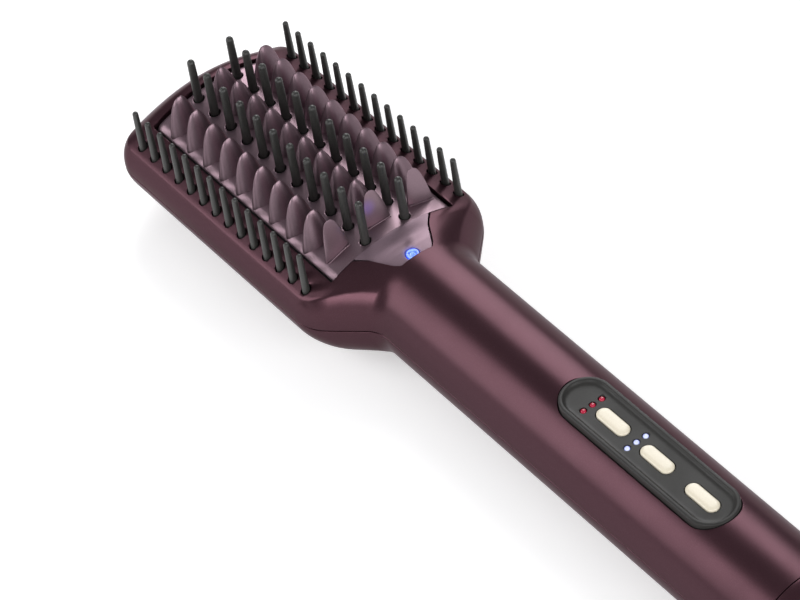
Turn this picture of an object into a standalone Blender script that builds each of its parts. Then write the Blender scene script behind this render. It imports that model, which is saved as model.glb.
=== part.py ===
"""Heated straightening brush: a paddle head with heated fins and pins on a round handle.

The brush lies on its back. +Y points to the tip of the head, -Y to the cord end, +Z is the
side with the pins, and X runs across the head. The origin is at the middle of the box
around the brush, on the plane that it rests on. All lengths are metres.
"""

import math

import bmesh
import bpy
from mathutils import Matrix, Vector

# Clearances
CLEARANCE = 0.0003          # between pieces that touch
PIN_CLEARANCE = 0.00035     # round a pin in its hole
PLATE_GAP = 0.0009          # dark groove round the heating plate
CUT_OVERRUN = 0.004         # how far a cutter runs past what it cuts

# Handle
HANDLE_RADIUS = 0.0191
HANDLE_LENGTH = 0.1775      # from the neck corner to the end cap
CASING_WALL = 0.0021
END_CAP_LENGTH = 0.0095
GLAND_LENGTH = 0.0085       # how far the cord gland stands out of the end cap

# Head outline at the parting line
HEAD_HALF_WIDTH = 0.0350
HEAD_LENGTH = 0.1122        # from the tip to the shoulder corner
NECK_LENGTH = 0.0160        # from the shoulder corner to the neck corner
TIP_ARC_RADIUS = 0.075
TIP_CORNER_RADIUS = 0.0100
SHOULDER_RADIUS = 0.0157
NECK_RADIUS = 0.0085

# Head surfaces
DOME_DROP = 0.00965         # from the middle of the dome to its edge
CREASE_INSET = 0.0026       # from the parting line in to the edge of the dome
TIP_FALL_LENGTH = 0.0109    # the dome falls away over this length at the tip
TIP_FALL_POWER_SHARE = 1.5
NECK_BLEND_START = 0.0005   # above the shoulder corner
NECK_BLEND_END = 0.0010     # above the neck corner
CREASE_ANGLE_SHARE = 0.47   # where the dome's edge runs out on the handle, as a share of 90 degrees
BACK_FLAT_HALF_WIDTH = 0.0140
BACK_FULLNESS_SHARE = 1.70
LIP_HEIGHT = 0.0012         # upright band along the parting line

# Rings of points between the parting line and the dome's edge: inset share, rise share
WALL_RING_SHARES = ((0.0, 0.0), (0.0, 0.13), (0.13, 0.46), (0.46, 0.80), (1.0, 1.0))
TOP_RING_SHARES = (0.14, 0.32, 0.54, 0.77, 1.0)
BACK_RING_SHARES = (0.0, 0.16, 0.34, 0.52, 0.70, 0.86, 1.0)
BACK_FLAT_ANGLE_SHARE = 0.91

# Pins and fins
PIN_PITCH = 0.0090
PIN_ROWS = 11
LAST_PIN_SETBACK = 0.0023   # from the shoulder corner to the last inner pin
INNER_PIN_OFFSET = 0.00123  # from the end of a middle fin to the inner pins
INNER_PIN_BASE_RADIUS = 0.00155
INNER_PIN_TIP_RADIUS = 0.00125
INNER_PIN_RISE = 0.0167     # above the plate
OUTER_PIN_PITCH = 0.006864
OUTER_PIN_COUNT = 14
OUTER_PIN_SETBACK = 0.0052
OUTER_PIN_INSET = 0.00525   # from the parting line to the outer pins
OUTER_PIN_BASE_RADIUS = 0.0014
OUTER_PIN_TIP_RADIUS = 0.00095
OUTER_PIN_RISE = 0.0151     # above the dome
PIN_SIDES = 8
PIN_TIP_SHARES = (0.62, 0.22)   # of the tip's radius: the small end face, and its bevel's height
FIN_COLUMN_GAP = 0.0033     # between the columns of fins
FIN_EDGE_MARGIN = 0.0003    # from a side fin to the edge of the plate
SIDE_FIN_APEX_RISE = 0.0118
MIDDLE_FIN_APEX_RISE = 0.0110
FIN_HALF_THICKNESS = 0.0039
FIN_SINK = 0.0010           # how deep a fin reaches into the plate
FIN_PROFILE_POWER_SHARE = 1.9
FIN_LENS_POWER_SHARE = 1.7
FIN_LEVEL_SHARES = (0.0, 0.38, 0.68, 0.89)
FIN_ALONG_SHARES = (-1.0, -0.6, 0.0, 0.6, 1.0)

# Heating plate and what lies under it
PLATE_INSET = 0.0122        # from the parting line to the edge of the plate
PLATE_THICKNESS = 0.0021
PLATE_NEAR_MARGIN = 0.0025  # from the last inner pin to the plate's near edge
PLATE_FAR_MARGIN = 0.0036
PLATE_RIB_GAP = 0.00103     # from the rib to the inner bars
PLATE_RIB_DROP = 0.0067     # from the crown to the underside of the rib
PLATE_RIB_MARGIN = 0.0060
CARRIER_LAP = 0.0026        # how far the carrier reaches under the casing
CARRIER_END_LAP = 0.0010
CARRIER_INNER_LAP = 0.0030  # how far it reaches under the plate
CARRIER_THICKNESS = 0.0036
STRIP_HALF_WIDTH = 0.0020
STRIP_THICKNESS = 0.0022
STRIP_END = 0.0019          # bar beyond its last pin
OUTER_STRIP_HALF_WIDTH = 0.0016
OUTER_STRIP_SHIFT = 0.0005  # of the bar's middle line, inwards from its pins
OUTER_STRIP_DROP = 0.0045   # from the dome to the top of the outer bars
ELECTRODE_THICKNESS = 0.0005
HEATER_THICKNESS = 0.0026
HEATER_HALF_WIDTH = 0.0070
HEATER_MARGIN = 0.01035     # from the end of the plate to the end of the heaters
HEATER_SPACING = 0.0030
INSULATION_THICKNESS = 0.0006
CLAMP_THICKNESS = 0.0012
CLAMP_HALF_WIDTH = 0.0090
CLAMP_SCREW_RADIUS = 0.0011
CLAMP_SCREW_LENGTH = 0.0052
SENSOR_RADIUS = 0.0012
SENSOR_LENGTH = 0.0060
FUSE_RADIUS = 0.0019
FUSE_LENGTH = 0.0110
SHIELD_THICKNESS = 0.0008
SHIELD_HALF_WIDTH = 0.0200
SHIELD_LENGTH = 0.0780
SHIELD_GAP = 0.0022         # below the heads of the clamp screws
SHIELD_RIB_HALF_WIDTH = 0.0170
SHIELD_RIB_THICKNESS = 0.0016

# Ion outlet on the apron between the plate and the handle
APRON_MOUTH_HALF_WIDTH = 0.0148
APRON_END_HALF_WIDTH = 0.0072
APRON_LENGTH = 0.0132
APRON_WAIST_SHARE = 0.32    # of its length, where the sides turn in
APRON_WAIST_HALF_WIDTH = 0.0112
APRON_SLOPE_SHARE = 0.141   # how far it dips, as a share of its length
APRON_DEPTH = 0.0058
OUTLET_RADIUS = 0.0021
OUTLET_BORE_RADIUS = 0.0012
OUTLET_STAND = 0.0003
NEEDLE_RADIUS = 0.0004
NEEDLE_LENGTH = 0.0055
NEEDLE_STRAIGHT_SHARE = 0.7
HOLDER_THICKNESS = 0.0016
HOLDER_RADIUS = 0.0045
ION_BLOCK_HALF_WIDTH = 0.0065
ION_BLOCK_LENGTH = 0.0170
ION_BLOCK_HEIGHT = 0.0100

# Control inlay, buttons and lights
INLAY_TAIL_GAP = 0.0300     # from the inlay to the tail
INLAY_LENGTH = 0.0745
INLAY_HALF_WIDTH = 0.0085
INLAY_RIM = 0.0018
INLAY_STAND = 0.0003        # rim above the crown
INLAY_DISH = 0.0011         # floor below the rim
INLAY_FLOOR = 0.0020
INLAY_HEIGHT = 0.0050
INLAY_WALL = 0.0012
BUTTON_PITCH = 0.0205
FIRST_BUTTON_START = 0.0209 # from the inlay's edge to the first button's centre
BUTTON_LENGTH = 0.0132
BUTTON_HALF_WIDTH = 0.0024
BUTTON_STAND = 0.0008       # above the inlay's floor
BUTTON_TRAVEL = 0.0005
BUTTON_FLANGE = 0.0009
BUTTON_FLANGE_THICKNESS = 0.0009
LIGHT_SETBACK = 0.0097      # from a button's centre to its row of lights
LIGHT_SPACING = 0.0035
LIGHT_RADIUS = 0.0009
LIGHT_STAND = 0.0002
LIGHT_BAR_HALF_WIDTH = 0.0012
LIGHT_BAR_THICKNESS = 0.0010
SWITCH_SIZE = 0.0060
SWITCH_HEIGHT = 0.0028
PLUNGER_RADIUS = 0.0016
PLUNGER_HEIGHT = 0.0008
LED_SIZE = 0.0016
LED_HEIGHT = 0.0010
BOARD_THICKNESS = 0.0016
BOARD_HALF_WIDTH = 0.0122
BOARD_MARGIN = 0.0020       # board beyond the inlay at each end
BOARD_POST_RADIUS = 0.0019
BOARD_POST_INSET = 0.0020
BOARD_POST_SETBACK = 0.0052
BOARD_SCREW_RADIUS = 0.0008
BOARD_SCREW_HEAD_RADIUS = 0.0015
CHIP_SIZE = 0.0065
CHIP_HEIGHT = 0.0012

# Power board
POWER_BOARD_LEAD = 0.0115   # from the middle boss to the power board
POWER_BOARD_LENGTH = 0.0720
POWER_BOARD_HALF_WIDTH = 0.0110
POWER_BOARD_Z = 0.0080
POWER_POST_SETBACK = 0.0045
POWER_POST_RADIUS = 0.0028
CAPACITOR_SIZE = (0.0090, 0.0090, 0.0110)
FILM_CAPACITOR_SIZE = (0.0070, 0.0150, 0.0100)
TRIAC_SIZE = (0.0100, 0.0045, 0.0110)
TERMINAL_SIZE = (0.0120, 0.0080, 0.0080)

# Casing screws and their bosses
BOSS_RADIUS = 0.0032
BOSS_BORE_RADIUS = 0.0016
SCREW_RADIUS = 0.0012
SCREW_HEAD_RADIUS = 0.0023
SCREW_HEAD_HEIGHT = 0.0016
SCREW_HEAD_DEPTH = 0.0060   # head's underside above the resting plane
SCREW_BITE = 0.0075         # thread above the parting line
SCREW_HEAD_SHARES = (0.8, 0.4)  # the head's flat back, and how far down its edge starts
NECK_BOSS_DROP = 0.0255     # from the shoulder corner
TAIL_BOSS_SETBACK = 0.0115

# End cap and cord gland
CAP_WALL = 0.0024
CAP_OUTLINE_SHARES = ((1.0, 0.0), (0.985, 0.35), (0.92, 0.70), (0.80, 0.92), (0.66, 1.0))
SPIGOT_LENGTH = 0.0050
GLAND_RADIUS = 0.0060
GLAND_NOSE_RADIUS = 0.0078
GLAND_TIP_RADIUS = 0.0062
GLAND_BORE_RADIUS = 0.0032
GLAND_STRAIGHT_SHARE = 0.45     # of the part that stands out, before it tapers
GLAND_INSIDE = 0.0060       # neck reach inside the cap
CLIP_RADIUS = 0.0085
CLIP_THICKNESS = 0.0012
CLIP_GROOVE = 0.0008

# Wires
HEATER_WIRE_RADIUS = 0.0009
SIGNAL_WIRE_RADIUS = 0.0006
NECK_SPREAD_SHARES = (1.15, 1.10)   # how far the heater and sensor wires spread at the neck

CASING_LENGTH = HEAD_LENGTH + NECK_LENGTH + HANDLE_LENGTH
OVERALL_LENGTH = CASING_LENGTH + END_CAP_LENGTH + GLAND_LENGTH
TIP_Y = OVERALL_LENGTH / 2
SHOULDER_Y = TIP_Y - HEAD_LENGTH
NECK_Y = SHOULDER_Y - NECK_LENGTH
TAIL_Y = NECK_Y - HANDLE_LENGTH
SEAM_Z = HANDLE_RADIUS
CROWN_Z = 2 * HANDLE_RADIUS
CREASE_HALF_WIDTH = HEAD_HALF_WIDTH - CREASE_INSET
DOME_RADIUS = CREASE_HALF_WIDTH ** 2 / (2 * DOME_DROP)
SPINE_END_Y = TIP_Y - HEAD_HALF_WIDTH
HALF_CLEARANCE = CLEARANCE / 2

# Places along the brush
LAST_PIN_Y = SHOULDER_Y + LAST_PIN_SETBACK
FIRST_PIN_Y = LAST_PIN_Y + (PIN_ROWS - 1) * PIN_PITCH
OUTER_LAST_PIN_Y = SHOULDER_Y + OUTER_PIN_SETBACK
OUTER_PIN_X = HEAD_HALF_WIDTH - OUTER_PIN_INSET
PLATE_HALF_WIDTH = HEAD_HALF_WIDTH - PLATE_INSET
FIN_HALF_LENGTH = (PLATE_HALF_WIDTH - FIN_EDGE_MARGIN - FIN_COLUMN_GAP) / 3
FIN_COLUMN_X = 2 * FIN_HALF_LENGTH + FIN_COLUMN_GAP
INNER_PIN_X = FIN_HALF_LENGTH + INNER_PIN_OFFSET
INNER_HOLE_RADIUS = INNER_PIN_BASE_RADIUS + PIN_CLEARANCE
PLATE_RIB_HALF_WIDTH = INNER_PIN_X - STRIP_HALF_WIDTH - PLATE_RIB_GAP
SENSOR_X = (INNER_PIN_X + STRIP_HALF_WIDTH + PLATE_HALF_WIDTH - CARRIER_INNER_LAP) / 2
PLATE_NEAR_Y = LAST_PIN_Y - PLATE_NEAR_MARGIN
PLATE_FAR_Y = FIRST_PIN_Y + PLATE_FAR_MARGIN
PLATE_MIDDLE_Y = (PLATE_NEAR_Y + PLATE_FAR_Y) / 2
OPENING_HALF_WIDTH = PLATE_HALF_WIDTH + PLATE_GAP
CARRIER_HALF_WIDTH = OPENING_HALF_WIDTH + CARRIER_LAP
CARRIER_DROP = CASING_WALL + 2 * CLEARANCE
APRON_START_Y = PLATE_NEAR_Y - CLEARANCE
APRON_END_Y = APRON_START_Y - APRON_LENGTH
OUTLET_Y = APRON_END_Y + OUTLET_RADIUS
APRON_ANGLE = math.atan(APRON_SLOPE_SHARE)
INLAY_END_Y = TAIL_Y + INLAY_TAIL_GAP
INLAY_FRONT_Y = INLAY_END_Y + INLAY_LENGTH
BUTTON_NAMES = ("temperature", "ion", "power")
BUTTON_YS = [INLAY_FRONT_Y - FIRST_BUTTON_START - index * BUTTON_PITCH for index in range(3)]
NECK_BOSS_Y = SHOULDER_Y - NECK_BOSS_DROP
BOSS_YS = (NECK_BOSS_Y, (NECK_BOSS_Y + INLAY_FRONT_Y) / 2, TAIL_Y + TAIL_BOSS_SETBACK)
POWER_BOARD_Y = BOSS_YS[1] - BOSS_RADIUS - POWER_BOARD_LEAD

# Heights of the heater stack, from the plate's rib down to the clamp
RIB_Z = CROWN_Z - PLATE_RIB_DROP
UPPER_ELECTRODE_Z = RIB_Z - CLEARANCE
HEATER_Z = UPPER_ELECTRODE_Z - ELECTRODE_THICKNESS - CLEARANCE
LOWER_ELECTRODE_Z = HEATER_Z - HEATER_THICKNESS - CLEARANCE
INSULATION_Z = LOWER_ELECTRODE_Z - ELECTRODE_THICKNESS - CLEARANCE
CLAMP_Z = INSULATION_Z - INSULATION_THICKNESS - CLEARANCE
CLAMP_SCREW_Z = CLAMP_Z - CLAMP_THICKNESS - CLEARANCE
SHIELD_TOP_Z = CLAMP_SCREW_Z - SCREW_HEAD_HEIGHT - SHIELD_GAP
HEATERS_LENGTH = PLATE_FAR_Y - PLATE_NEAR_Y - 2 * HEATER_MARGIN
HEATER_LENGTH = (HEATERS_LENGTH - HEATER_SPACING) / 2

# Heights of the controls, from the inlay's rim down to the board
INLAY_RIM_Z = CROWN_Z + INLAY_STAND
INLAY_FLOOR_Z = INLAY_RIM_Z - INLAY_DISH
INLAY_UNDERSIDE_Z = INLAY_FLOOR_Z - INLAY_FLOOR
INLAY_BOTTOM_Z = INLAY_RIM_Z - INLAY_HEIGHT
FLANGE_TOP_Z = INLAY_UNDERSIDE_Z - CLEARANCE
BUTTON_BOTTOM_Z = FLANGE_TOP_Z - BUTTON_FLANGE_THICKNESS
PLUNGER_TOP_Z = BUTTON_BOTTOM_Z - BUTTON_TRAVEL - CLEARANCE
SWITCH_BOTTOM_Z = PLUNGER_TOP_Z - PLUNGER_HEIGHT - SWITCH_HEIGHT
BOARD_TOP_Z = SWITCH_BOTTOM_Z - CLEARANCE
BOARD_BOTTOM_Z = BOARD_TOP_Z - BOARD_THICKNESS
BOARD_FRONT_Y = INLAY_FRONT_Y + BOARD_MARGIN
BOARD_END_Y = INLAY_END_Y - BOARD_MARGIN
BOARD_POST_X = BOARD_HALF_WIDTH - BOARD_POST_INSET
BOARD_POSTS = ((BOARD_POST_X, BOARD_FRONT_Y - BOARD_POST_SETBACK),
               (-BOARD_POST_X, BOARD_END_Y + BOARD_POST_SETBACK))
POWER_BOARD_TOP_Z = POWER_BOARD_Z + BOARD_THICKNESS
POWER_POST_YS = (POWER_BOARD_Y - POWER_POST_SETBACK,
                 POWER_BOARD_Y - POWER_BOARD_LENGTH + POWER_POST_SETBACK)


def dome_z(x):
    """Height of the head's domed top at a distance x from the middle line."""
    return CROWN_Z - x * x / (2 * DOME_RADIUS)


CREASE_Z = dome_z(CREASE_HALF_WIDTH)


def blend_share(y):
    """0 on the head, 1 on the handle, with a smooth change along the neck."""
    start = SHOULDER_Y + NECK_BLEND_START
    end = NECK_Y + NECK_BLEND_END
    t = min(1.0, max(0.0, (start - y) / (start - end)))
    return t * t * (3 - 2 * t)


def crease_tip_y(x):
    """Y of the dome's edge along the tip arc."""
    radius = TIP_ARC_RADIUS - CREASE_INSET
    return TIP_Y - CREASE_INSET - radius + math.sqrt(radius * radius - x * x)


def top_z(x, y):
    """Height of the head's top, which falls away towards the tip."""
    end = crease_tip_y(x)
    start = crease_tip_y(0) - TIP_FALL_LENGTH
    t = min(1.0, max(0.0, (y - start) / (end - start)))
    return CREASE_Z + (dome_z(x) - CREASE_Z) * (1 - t ** TIP_FALL_POWER_SHARE)


def arc_points(corner, before, after, radius, count):
    """Points of a fillet at a corner between two straight runs."""
    to_before = (before - corner).normalized()
    to_after = (after - corner).normalized()
    half_angle = to_before.angle(to_after) / 2
    centre = corner + (to_before + to_after).normalized() * radius / math.sin(half_angle)
    reach = radius / math.tan(half_angle)
    first = corner + to_before * reach - centre
    turn = first.angle_signed(corner + to_after * reach - centre)
    rotated = []
    for index in range(count + 1):
        angle = -turn * index / count
        rotated.append(centre + Matrix.Rotation(angle, 2) @ first)
    return rotated


def seam_outline():
    """Right half of the casing's outline at the parting line, from the tip to the tail."""
    points = []
    arc_end = HEAD_HALF_WIDTH - TIP_CORNER_RADIUS
    arc_drop = TIP_ARC_RADIUS - math.sqrt(TIP_ARC_RADIUS ** 2 - arc_end ** 2)
    slope = math.asin(arc_end / TIP_ARC_RADIUS)
    run = HEAD_HALF_WIDTH - arc_end
    corner = Vector((HEAD_HALF_WIDTH, TIP_Y - arc_drop - run * math.tan(slope)))
    shoulder = Vector((HEAD_HALF_WIDTH, SHOULDER_Y))
    neck = Vector((HANDLE_RADIUS, NECK_Y))
    tail = Vector((HANDLE_RADIUS, TAIL_Y))
    arc_start = Vector((arc_end, TIP_Y - arc_drop))
    fillet = arc_points(corner, arc_start, shoulder, TIP_CORNER_RADIUS, 5)
    for index in range(5):
        x = fillet[0].x * index / 5
        points.append(Vector((x, TIP_Y - TIP_ARC_RADIUS + math.sqrt(TIP_ARC_RADIUS ** 2 - x * x))))
    points += fillet
    shoulder_fillet = arc_points(shoulder, corner, neck, SHOULDER_RADIUS, 6)
    points.append(fillet[-1].lerp(shoulder_fillet[0], 0.5))
    points += shoulder_fillet
    neck_fillet = arc_points(neck, shoulder, tail, NECK_RADIUS, 4)
    points.append(shoulder_fillet[-1].lerp(neck_fillet[0], 0.5))
    points += neck_fillet
    points += [neck_fillet[-1].lerp(tail, 0.5), tail]
    return points


def with_inward_normals(points):
    """Pairs of each outline point and the direction from it into the casing."""
    pairs = []
    for index, point in enumerate(points):
        before = points[index - 1] if index > 0 else Vector((-points[1].x, points[1].y))
        after = points[index + 1] if index + 1 < len(points) else point + (point - before)
        along = (after - before).normalized()
        pairs.append((point, Vector((along.y, -along.x))))
    return pairs


def front_station(point, inward):
    """Points of one cross strip of the front shell, from the parting line to the middle line."""
    share = blend_share(point.y)
    strip = []
    crease_angle = CREASE_ANGLE_SHARE * math.pi / 2
    rise = CREASE_Z - SEAM_Z
    for inset_share, rise_share in WALL_RING_SHARES:
        plan = point + inward * inset_share * CREASE_INSET
        target_z = rise * rise_share
        if rise_share == 1.0:
            target_z = top_z(min(plan.x, CREASE_HALF_WIDTH), plan.y) - SEAM_Z
        head = Vector((plan.x, plan.y, SEAM_Z + target_z))
        angle = crease_angle * rise_share
        handle = Vector((HANDLE_RADIUS * math.cos(angle), point.y,
                         SEAM_Z + HANDLE_RADIUS * math.sin(angle)))
        if inset_share == 0.0:
            handle.x = HANDLE_RADIUS
            head.z = SEAM_Z + HALF_CLEARANCE + LIP_HEIGHT * (1 if rise_share > 0 else 0)
            handle.z = head.z
        strip.append(head.lerp(handle, share))
    crease = point + inward * CREASE_INSET
    spine = Vector((0, min(crease.y, SPINE_END_Y)))
    for top_share in TOP_RING_SHARES:
        plan = crease.lerp(spine, top_share)
        head = Vector((plan.x, plan.y, top_z(plan.x, plan.y)))
        angle = crease_angle + (math.pi / 2 - crease_angle) * top_share
        handle = Vector((HANDLE_RADIUS * math.cos(angle), point.y,
                         SEAM_Z + HANDLE_RADIUS * math.sin(angle)))
        strip.append(head.lerp(handle, share))
    strip[-1].x = 0
    return strip


def back_station(point, inward):
    """Points of one cross strip of the back shell, from the parting line to the middle line."""
    share = blend_share(point.y)
    spine = Vector((0, min(point.y, SPINE_END_Y)))
    flat_share = 1 - BACK_FLAT_HALF_WIDTH / HEAD_HALF_WIDTH
    strip = []
    for ring_share in BACK_RING_SHARES:
        angle = ring_share * math.pi / 2
        inset_share = 1 - math.cos(angle) ** (2 / BACK_FULLNESS_SHARE)
        drop_share = math.sin(angle) ** (2 / BACK_FULLNESS_SHARE)
        plan = point.lerp(spine, flat_share * inset_share)
        head = Vector((plan.x, plan.y, SEAM_Z * (1 - drop_share)))
        angle = angle * BACK_FLAT_ANGLE_SHARE
        handle = Vector((HANDLE_RADIUS * math.cos(angle), point.y,
                         SEAM_Z - HANDLE_RADIUS * math.sin(angle)))
        position = head.lerp(handle, share)
        if ring_share == 0.0:
            position.z = SEAM_Z - HALF_CLEARANCE
            strip.append(position)
            position = position.copy()
            position.z -= LIP_HEIGHT
        strip.append(position)
    strip.append(Vector((0, spine.y, 0)))
    return strip


def loft_mesh(name, strips, flip):
    """A half surface through equal strips of points, with coinciding points joined."""
    shape = bmesh.new()
    rows = [[shape.verts.new(point) for point in strip] for strip in strips]
    for row, following in zip(rows[:-1], rows[1:]):
        for index in range(len(row) - 1):
            corners = [row[index], row[index + 1], following[index + 1], following[index]]
            shape.faces.new(corners[::-1] if flip else corners)
    bmesh.ops.remove_doubles(shape, verts=shape.verts, dist=CLEARANCE / 10)
    bmesh.ops.dissolve_degenerate(shape, dist=CLEARANCE / 100, edges=shape.edges)
    mesh = bpy.data.meshes.new(name)
    shape.to_mesh(mesh)
    shape.free()
    return mesh


def clear_scene():
    """Remove every object of the open scene."""
    for obj in list(bpy.data.objects):
        bpy.data.objects.remove(obj, do_unlink=True)


class Assembly:
    """The brush's pieces in one collection, and the shapes that cut them in another."""

    def __init__(self, name):
        self.parts = bpy.data.collections.new(name)
        self.cutters = bpy.data.collections.new(name + "_cutters")
        for collection in (self.parts, self.cutters):
            bpy.context.scene.collection.children.link(collection)

    def add(self, name, mesh, finish, sharp_degrees=35):
        """Link a mesh as a named piece with its finish, smooth but for its sharp edges."""
        obj = bpy.data.objects.new(name, mesh)
        self.parts.objects.link(obj)
        colour, roughness, metallic = finish
        material = bpy.data.materials.new(name)
        material.use_nodes = True
        shader = material.node_tree.nodes["Principled BSDF"]
        shader.inputs["Base Color"].default_value = (*colour, 1)
        shader.inputs["Roughness"].default_value = roughness
        shader.inputs["Metallic"].default_value = metallic
        mesh.materials.append(material)
        mesh.shade_smooth()
        mesh.set_sharp_from_angle(angle=math.radians(sharp_degrees))
        return obj

    def combine(self, obj, mesh, operation):
        """Join a mesh to a piece, or cut the piece with it, as a Boolean modifier."""
        tool = bpy.data.objects.new(obj.name + "_" + operation.lower(), mesh)
        self.cutters.objects.link(tool)
        tool.hide_render = True
        tool.display_type = "WIRE"
        modifier = obj.modifiers.new(operation.title(), "BOOLEAN")
        modifier.operation = operation
        modifier.solver = "EXACT"
        modifier.object = tool


PLUM = ((0.115, 0.055, 0.075), 0.32, 0.55)
MAUVE = ((0.26, 0.18, 0.22), 0.30, 0.70)
PIN_BLACK = ((0.035, 0.038, 0.036), 0.45, 0.0)
GREY = ((0.10, 0.10, 0.10), 0.40, 0.0)
CREAM = ((0.85, 0.78, 0.62), 0.35, 0.0)
RESIN = ((0.03, 0.03, 0.035), 0.5, 0.0)
STEEL = ((0.55, 0.55, 0.55), 0.35, 1.0)
BRASS = ((0.70, 0.50, 0.22), 0.35, 1.0)
CERAMIC = ((0.75, 0.70, 0.62), 0.6, 0.0)
MICA = ((0.55, 0.42, 0.25), 0.4, 0.0)
BOARD_GREEN = ((0.03, 0.20, 0.08), 0.45, 0.0)
CLEAR = ((0.80, 0.82, 0.90), 0.15, 0.0)
WIRE_RED = ((0.45, 0.04, 0.03), 0.5, 0.0)
WIRE_BLUE = ((0.04, 0.10, 0.40), 0.5, 0.0)
WIRE_WHITE = ((0.75, 0.75, 0.72), 0.5, 0.0)


def mesh_from(shape, name="shape"):
    """A mesh data block from a bmesh, which is freed."""
    mesh = bpy.data.meshes.new(name)
    shape.to_mesh(mesh)
    shape.free()
    return mesh


def merged(*meshes):
    """One mesh of separate bodies."""
    shape = bmesh.new()
    for mesh in meshes:
        shape.from_mesh(mesh)
    return mesh_from(shape)


def box(x_range, y_range, z_range):
    """A box between three pairs of coordinates."""
    shape = bmesh.new()
    bmesh.ops.create_cube(shape, size=1)
    size = [abs(high - low) for low, high in (x_range, y_range, z_range)]
    middle = [(high + low) / 2 for low, high in (x_range, y_range, z_range)]
    bmesh.ops.scale(shape, vec=size, verts=shape.verts)
    bmesh.ops.translate(shape, vec=middle, verts=shape.verts)
    return mesh_from(shape)


def round_bar(radius, x, y, z_range, sides=16):
    """An upright cylinder."""
    shape = bmesh.new()
    bmesh.ops.create_cone(shape, cap_ends=True, segments=sides, radius1=radius, radius2=radius,
                          depth=abs(z_range[1] - z_range[0]))
    bmesh.ops.translate(shape, vec=(x, y, (z_range[0] + z_range[1]) / 2), verts=shape.verts)
    return mesh_from(shape)


def lying_bar(radius, x, y_range, z, sides=12):
    """A cylinder along the brush."""
    shape = bmesh.new()
    bmesh.ops.create_cone(shape, cap_ends=True, segments=sides, radius1=radius, radius2=radius,
                          depth=abs(y_range[1] - y_range[0]))
    bmesh.ops.rotate(shape, cent=(0, 0, 0), matrix=Matrix.Rotation(math.pi / 2, 3, "X"),
                     verts=shape.verts)
    bmesh.ops.translate(shape, vec=(x, (y_range[0] + y_range[1]) / 2, z), verts=shape.verts)
    return mesh_from(shape)


def prism(outline, z_range):
    """An upright solid on a closed plan outline."""
    shape = bmesh.new()
    face = shape.faces.new([shape.verts.new((x, y, z_range[0])) for x, y in outline])
    grown = bmesh.ops.extrude_face_region(shape, geom=[face])
    top = [item for item in grown["geom"] if isinstance(item, bmesh.types.BMVert)]
    bmesh.ops.translate(shape, vec=(0, 0, z_range[1] - z_range[0]), verts=top)
    bmesh.ops.recalc_face_normals(shape, faces=shape.faces)
    return mesh_from(shape)


def long_section(section, y_range):
    """A solid that runs along the brush with one closed cross section."""
    shape = bmesh.new()
    face = shape.faces.new([shape.verts.new((x, y_range[0], z)) for x, z in section])
    grown = bmesh.ops.extrude_face_region(shape, geom=[face])
    far = [item for item in grown["geom"] if isinstance(item, bmesh.types.BMVert)]
    bmesh.ops.translate(shape, vec=(0, y_range[1] - y_range[0], 0), verts=far)
    bmesh.ops.recalc_face_normals(shape, faces=shape.faces)
    return mesh_from(shape)


def turned(profile, sides):
    """A turned solid: a profile of radius and height swept by a Screw modifier."""
    mesh = bpy.data.meshes.new("profile")
    edges = [(index, index + 1) for index in range(len(profile) - 1)]
    mesh.from_pydata([(radius, 0, height) for radius, height in profile], edges, [])
    obj = bpy.data.objects.new("profile", mesh)
    bpy.context.scene.collection.objects.link(obj)
    screw = obj.modifiers.new("Screw", "SCREW")
    screw.steps = sides
    screw.render_steps = sides
    screw.use_merge_vertices = True
    screw.merge_threshold = CLEARANCE / 30
    graph = bpy.context.evaluated_depsgraph_get()
    result = bpy.data.meshes.new_from_object(obj.evaluated_get(graph))
    bpy.data.objects.remove(obj, do_unlink=True)
    shape = bmesh.new()
    shape.from_mesh(result)
    bmesh.ops.recalc_face_normals(shape, faces=shape.faces)
    return mesh_from(shape)


def moved(mesh, offset, turn=None):
    """A copy of a mesh, turned about the origin and then moved."""
    copy = mesh.copy()
    if turn is not None:
        copy.transform(turn)
    copy.transform(Matrix.Translation(offset))
    return copy


def wire(points, radius):
    """A wire along a smooth route: a bevelled curve made a mesh with its caps joined."""
    curve = bpy.data.curves.new("wire", "CURVE")
    curve.dimensions = "3D"
    curve.bevel_depth = radius
    curve.bevel_resolution = 1
    curve.use_fill_caps = True
    spline = curve.splines.new("POLY")
    route = smooth_route([Vector(point) for point in points])
    spline.points.add(len(route) - 1)
    for point, place in zip(spline.points, route):
        point.co = (*place, 1)
    obj = bpy.data.objects.new("wire", curve)
    bpy.context.scene.collection.objects.link(obj)
    graph = bpy.context.evaluated_depsgraph_get()
    result = bpy.data.meshes.new_from_object(obj.evaluated_get(graph))
    bpy.data.objects.remove(obj, do_unlink=True)
    shape = bmesh.new()
    shape.from_mesh(result)
    bmesh.ops.remove_doubles(shape, verts=shape.verts, dist=CLEARANCE / 30)
    bmesh.ops.recalc_face_normals(shape, faces=shape.faces)
    return mesh_from(shape)


def smooth_route(points, steps=3):
    """Points along a smooth curve through the given points."""
    padded = [points[0] * 2 - points[1], *points, points[-1] * 2 - points[-2]]
    route = []
    for a, b, c, d in zip(padded, padded[1:], padded[2:], padded[3:]):
        for index in range(steps):
            t = index / steps
            route.append(((b * 2) + (c - a) * t + (a * 2 - b * 5 + c * 4 - d) * t ** 2
                          + (b * 3 - a - c * 3 + d) * t ** 3) / 2)
    route.append(points[-1])
    return route


def racetrack(half_width, y_front, y_end, steps=8):
    """A closed plan outline with round ends."""
    outline = []
    for index in range(steps + 1):
        angle = math.pi * index / steps
        outline.append((half_width * math.cos(angle), y_front - half_width + half_width * math.sin(angle)))
    for index in range(steps + 1):
        angle = math.pi * (1 + index / steps)
        outline.append((half_width * math.cos(angle), y_end + half_width + half_width * math.sin(angle)))
    return outline


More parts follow.
